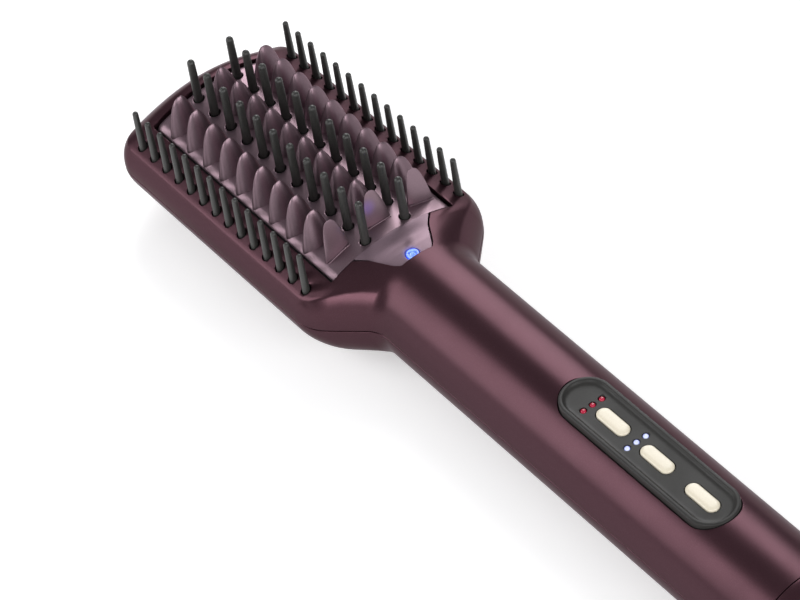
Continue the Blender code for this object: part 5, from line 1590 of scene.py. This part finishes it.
@dataclass
class ControlPanel:
    """The long inlay with its dished floor, three buttons and two rows of lights."""

    front_y: float = -0.03935
    end_y: float = -0.11385
    half_width: float = 0.0085
    rim_z: float = 0.0385
    floor_z: float = 0.0374
    bottom_z: float = 0.0335
    underside_z: float = 0.0354
    button_ys: tuple[float, ...] = (-0.06025, -0.08075, -0.10125)
    button_length: float = 0.0132
    button_half_width: float = 0.0024
    flange: float = 0.0009
    flange_z: tuple[float, float] = (0.0342, 0.0351)
    clearance: float = 0.0003
    light_setback: float = 0.0097
    light_xs: tuple[float, ...] = (-0.0035, 0.0, 0.0035)
    light_radius: float = 0.0009
    wall: float = 0.0012
    hole_depth: float = 0.0032
    button_hole_lip: float = 0.00012
    light_hole_lip: float = 0.00010
    bar_reach: float = 0.0012
    bar_zs: tuple[float, float] = (0.0341, 0.0351)
    bar_round: float = 0.0002
    cap_section: Profile = (
        (0, 0.0346), (0, 0.03752), (-0.00008, 0.03774), (-0.00024, 0.03792), (-0.00048, 0.03805),
        (-0.0009, 0.03815), (-0.0014, 0.03819), (-0.0019, 0.0382), (-0.0022, 0.0382))

    def inlay(self) -> None:
        """Build the inlay: a rounded rim, a dished floor, and holes for buttons and lights."""
        section = [(0, self.bottom_z), (0, 0.03805), (-0.00005, 0.03822), (-0.00016, 0.03836),
                   (-0.00032, 0.03845), (-0.00055, self.rim_z), (-0.00100, self.rim_z), (-0.00122, 0.03846),
                   (-0.00138, 0.03836), (-0.00150, 0.03820), (-0.00162, 0.03800), (-0.00180, 0.03780),
                   (-0.00205, 0.03762), (-0.00240, 0.03749), (-0.00285, 0.03742), (-0.0034, self.floor_z),
                   (-0.0048, self.floor_z)]
        outline = racetrack(self.half_width, self.front_y, self.end_y)
        body = stacked(outline, [Level(grow, height) for grow, height in section], height_at(0.0))
        inside = racetrack(self.half_width - self.wall, self.front_y - self.wall, self.end_y + self.wall)
        below, under = Level(0, self.bottom_z - 0.001), Level(0, self.underside_z)
        hollow = stacked(inside, [below, under], height_at(0.0))
        floor = height_at(self.floor_z)
        holes = []
        for y in self.button_ys:
            ends = self.button_length / 2 + self.clearance
            hole = racetrack(self.button_half_width + self.clearance, y + ends, y - ends, 0.0004)
            holes.append(opening(hole, self.button_hole_lip, self.hole_depth, floor))
        for y in self.button_ys[:2]:
            for x in self.light_xs:
                spot = circle(self.light_radius + self.clearance, x, y + self.light_setback, 24)
                holes.append(opening(spot, self.light_hole_lip, self.hole_depth, floor))
        mesh = carved(as_mesh(body, "control_inlay"), [hollow, joined(*holes)])
        show("panel_inlay", mesh, Finishes.INLAY, Body.CASING, "control_inlay", 34)

    def button(self, name: str, y: float, body: Body) -> None:
        """Build a push button with a rounded cap and its flange.

        Args:
            name: What the button is for.
            y: Its middle.
            body: The body that it rides on.
        """
        front, end = y + self.button_length / 2, y - self.button_length / 2
        outline = racetrack(self.button_half_width, front, end, 0.0003)
        cap = stacked(outline, [Level(grow, height) for grow, height in self.cap_section], height_at(0.0))
        flange = self.flange
        rim = racetrack(self.button_half_width + flange, front + flange, end - flange, 0.0004)
        low, high = self.flange_z
        edge = [(-0.0001, low), (0, low + 0.0001), (0, high - 0.0001), (-0.0001, high)]
        collar = stacked(rim, [Level(grow, height) for grow, height in edge], height_at(0.0))
        mesh = as_mesh(joined(cap, collar), name + "_cap")
        show(name + "_cap", mesh, Finishes.CREAM, body, name + "_button", 30)

    def lights(self, name: str, y: float, finish: Finish) -> None:
        """Build a row of three domed lights on their bar.

        Args:
            name: The button that the lights belong to.
            y: Place of the row.
            finish: Finish of the lit domes.
        """
        radius = self.light_radius
        profile = [(0, 0.0376), (0.0003, 0.03759), (0.00055, 0.03753), (0.00075, 0.03742), (0.00086, 0.03728),
                   (radius, 0.03710), (radius, 0.0346), (0, 0.0346)]
        parts = [spun(profile, Vector((x, y, 0)), 24) for x in self.light_xs]
        reach, (low, high) = self.bar_reach, self.bar_zs
        parts.append(block(Vector((self.light_xs[0] - reach, y - reach, low)),
                           Vector((self.light_xs[-1] + reach, y + reach, high)), self.bar_round))
        mesh = as_mesh(joined(*parts), name + "_lights")
        show(name + "_lights", mesh, finish, Body.CASING, name + "_light_guide")

    def build(self) -> None:
        """Build the inlay, the buttons and the lights."""
        self.inlay()
        bodies = (Body.TEMPERATURE, Body.ION, Body.POWER)
        names = ("temperature", "ion", "power")
        for name, y, body in zip(names, self.button_ys, bodies):
            self.button(name, y, body)
        for name, y, finish in zip(names, self.button_ys, (Finishes.RED_LIGHT, Finishes.WHITE_LIGHT)):
            self.lights(name, y + self.light_setback, finish)


@dataclass
class Tail:
    """The end cap and the swivel gland for the cord."""

    joint_y: float = -0.14415
    axis_z: float = 0.0191
    radius: float = 0.0191
    length: float = 0.0092
    spigot_radius: float = 0.0164
    spigot_length: float = 0.0050
    wall: float = 0.0024
    face_share: float = 0.66
    face_power: float = 0.92
    edge_round: float = 0.00025
    round_steps: int = 16
    gland_radius: float = 0.0060
    gland_nose: float = 0.0078
    gland_tip: float = 0.0062
    gland_bore: float = 0.0032
    gland_length: float = 0.0085
    gland_straight_share: float = 0.45
    groove_depth: float = 0.0008
    ring_start: float = 0.0011
    ring_pitch: float = 0.00165
    ring_count: int = 4
    clearance: float = 0.0003

    def cap(self) -> None:
        """Build the end cap with its spigot."""
        edge, rest = self.edge_round, self.length - self.edge_round
        profile = [(self.spigot_radius, self.spigot_length), (self.spigot_radius, 0),
                   (self.radius - 0.0003, 0), (self.radius - 0.0001, -0.00006), (self.radius, -edge)]
        for step in range(1, self.round_steps + 1):
            turn = math.pi / 2 * step / self.round_steps
            share = self.face_share + (1 - self.face_share) * math.cos(turn) ** self.face_power
            profile.append((self.radius * share, -edge - rest * math.sin(turn)))
        hole = self.gland_radius + self.clearance
        inner = self.spigot_radius - self.wall / 2
        inside = self.wall - self.length
        profile += [(hole + 0.0016, -self.length), (hole + 0.0004, -self.length + 0.00008),
                    (hole, -self.length + 0.0004), (hole, inside), (inner, inside),
                    (inner, self.spigot_length)]
        mesh = as_mesh(spun(profile, Vector((0, self.joint_y, self.axis_z)), 96, lying=True), "tail_cap")
        show("tail_cap", mesh, Finishes.PLUM, Body.CASING, "end_cap", 30)

    def gland(self) -> None:
        """Build the gland: a neck in the cap, and a grooved nose that tapers to its open end."""
        groove = self.wall - self.length + self.clearance
        inside = groove + 0.0036
        groove_end = groove + 0.0015
        shoulder = -self.length - self.clearance
        bore, neck = self.gland_bore, self.gland_radius
        sunk = neck - self.groove_depth
        profile = [(bore, inside), (neck, inside), (neck, groove_end), (sunk, groove_end), (sunk, groove),
                   (neck, groove), (neck, shoulder)]
        nose, tip = self.gland_nose, self.gland_tip
        profile += [(nose - 0.0003, shoulder), (nose - 0.0001, shoulder - 0.0001), (nose, shoulder - 0.0003)]
        straight_end = -self.length - self.gland_length * self.gland_straight_share
        end = -self.length - self.gland_length
        dip = ((0, 0), (0.00012, 0.00022), (0.00035, 0.00034), (0.00058, 0.00022), (0.0007, 0))
        for ring in range(self.ring_count):
            start = shoulder - self.ring_start - ring * self.ring_pitch
            for down, sink in dip:
                taper = max(0.0, (straight_end - (start - down)) / (straight_end - end))
                profile.append((nose - (nose - tip) * taper - sink, start - down))
        profile += [(tip + 0.00022, end + 0.0006), (tip + 0.00008, end + 0.0002), (tip - 0.0002, end),
                    (bore + 0.0004, end), (bore + 0.0001, end + 0.0001), (bore, end + 0.0004)]
        mesh = as_mesh(spun(profile, Vector((0, self.joint_y, self.axis_z)), 64, lying=True), "gland_sleeve")
        show("gland_sleeve", mesh, Finishes.RUBBER, Body.GLAND, "cord_gland", 34)

    def build(self) -> None:
        """Build the cap and the gland."""
        self.cap()
        self.gland()


@dataclass
class InnerParts:
    """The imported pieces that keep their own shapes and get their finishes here."""

    finishes: tuple[tuple[Finish, tuple[str, ...]], ...] = (
        (Finishes.BLACK, ("plate_carrier", "needle_holder", "ion_generator", "temperature_switch",
                          "ion_switch", "power_switch", "controller_chip", "smoothing_capacitor",
                          "heater_triac")),
        (Finishes.STEEL, ("heater_clamp", "clamp_screw_near", "clamp_screw_far", "thermal_fuse", "ion_needle",
                          "board_screw_near", "board_screw_far", "power_board_screw_near",
                          "power_board_screw_far", "gland_clip")),
        (Finishes.CERAMIC, ("heating_element_near", "heating_element_far")),
        (Finishes.BRASS, ("upper_electrode", "lower_electrode")),
        (Finishes.MICA, ("insulating_pad", "heat_shield")),
        (Finishes.CLEAR, ("thermistor", "temperature_lamps", "ion_lamps")),
        (Finishes.BOARD, ("control_board", "power_board")),
        (Finishes.FILM, ("film_capacitor",)),
        (Finishes.TERMINAL, ("terminal_block",)),
        (Finishes.WIRE_RED, ("heater_wire_live", "link_wire")),
        (Finishes.WIRE_BLUE, ("heater_wire_neutral",)),
        (Finishes.WIRE_WHITE, ("ion_lead", "sensor_wire")))

    def dress(self, nodes: dict[str, bpy.types.Object]) -> None:
        """Give each kept piece its finish.

        Args:
            nodes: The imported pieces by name.
        """
        for finish, names in self.finishes:
            for name in names:
                for place in nodes[name].material_slots:
                    place.material = finish.material()
                LOG.info("%s: %s", name, finish.name)


@dataclass(frozen=True)
class SoftBox:
    """A soft box that faces the brush."""

    name: str
    towards: tuple[float, float, float]
    distance: float
    width: float
    length: float
    power: float

    def build(self) -> None:
        """Add the light."""
        lamp = bpy.data.lights.new(self.name, "AREA")
        lamp.shape = "RECTANGLE"
        lamp.size = self.width
        lamp.size_y = self.length
        lamp.energy = self.power
        obj = bpy.data.objects.new(self.name, lamp)
        towards = Vector(self.towards)
        obj.location = towards.normalized() * self.distance
        obj.rotation_mode = "QUATERNION"
        obj.rotation_quaternion = towards.to_track_quat("Z", "Y")
        bpy.context.scene.collection.objects.link(obj)


@dataclass
class Studio:
    """The floor, the soft lights and the camera."""

    camera_at: tuple[float, float, float] = (-0.48728, -0.81513, 0.99819)
    camera_turn: tuple[float, float, float, float] = (0.8676135264, 0.3781776597, -0.0618997294,
                                                      -0.3168546197)
    lens: float = 202.0
    sensor_width: float = 36.0
    floor_reach: float = 3.0
    floor_drop: float = 0.00006
    world_colour: Colour = (0.95, 0.96, 1.0)
    world_strength: float = 0.24
    boxes: tuple[SoftBox, ...] = (
        SoftBox("right_box", (0.568, 0.608, 0.555), 1.25, 0.62, 0.95, 9.4),
        SoftBox("left_box", (-0.690, 0.566, 0.450), 1.25, 0.55, 0.95, 6.8),
        SoftBox("front_box", (0.10, -0.92, 0.42), 1.9, 1.3, 1.1, 20.0),
        SoftBox("shoulder_box", (-0.794, -0.52, 0.36), 1.5, 0.55, 0.50, 8.0))

    def floor(self) -> None:
        """Build the pale floor, which shows white to the camera and keeps the shadow."""
        shape = bmesh.new()
        bmesh.ops.create_circle(shape, cap_ends=True, segments=96, radius=self.floor_reach)
        bmesh.ops.translate(shape, vec=(0, 0, -self.floor_drop), verts=shape.verts)
        mesh = as_mesh(shape, "floor")
        mesh.materials.append(Finishes.FLOOR.material())
        obj = bpy.data.objects.new("floor", mesh)
        bpy.context.scene.collection.objects.link(obj)

    def lights(self) -> None:
        """Two large soft boxes behind the brush, a low one in front, and a small one at the shoulder."""
        for box in self.boxes:
            box.build()
        world = bpy.data.worlds.new("studio")
        bpy.context.scene.world = world
        world.use_nodes = True
        back = world.node_tree.nodes["Background"]
        back.inputs["Color"].default_value = (*self.world_colour, 1)
        back.inputs["Strength"].default_value = self.world_strength

    def camera(self) -> None:
        """Set the camera at the photograph's angle."""
        lens = bpy.data.cameras.new("camera")
        lens.lens = self.lens
        lens.sensor_width = self.sensor_width
        lens.clip_end = 20
        obj = bpy.data.objects.new("camera", lens)
        obj.location = self.camera_at
        obj.rotation_mode = "QUATERNION"
        obj.rotation_quaternion = self.camera_turn
        bpy.context.scene.collection.objects.link(obj)
        bpy.context.scene.camera = obj

    def build(self) -> None:
        """Set up the studio."""
        self.floor()
        self.lights()
        self.camera()
        bpy.context.scene.view_settings.view_transform = "Standard"


def main() -> None:
    """Build the brush and its studio."""
    logging.basicConfig(level=logging.INFO, format="%(message)s")
    plate = HeatingPlate()
    pins = PinField(plate.pin_ys(), plate.pin_x)
    casing = Casing()
    casing.front(pins.outer_pins())
    casing.back()
    casing.screws()
    plate.build()
    pins.build()
    Apron().build(casing.head_opening())
    ControlPanel().build()
    Tail().build()
    InnerParts().dress(frame["nodes"])
    Studio().build()


if __name__ == "__main__":
    main()
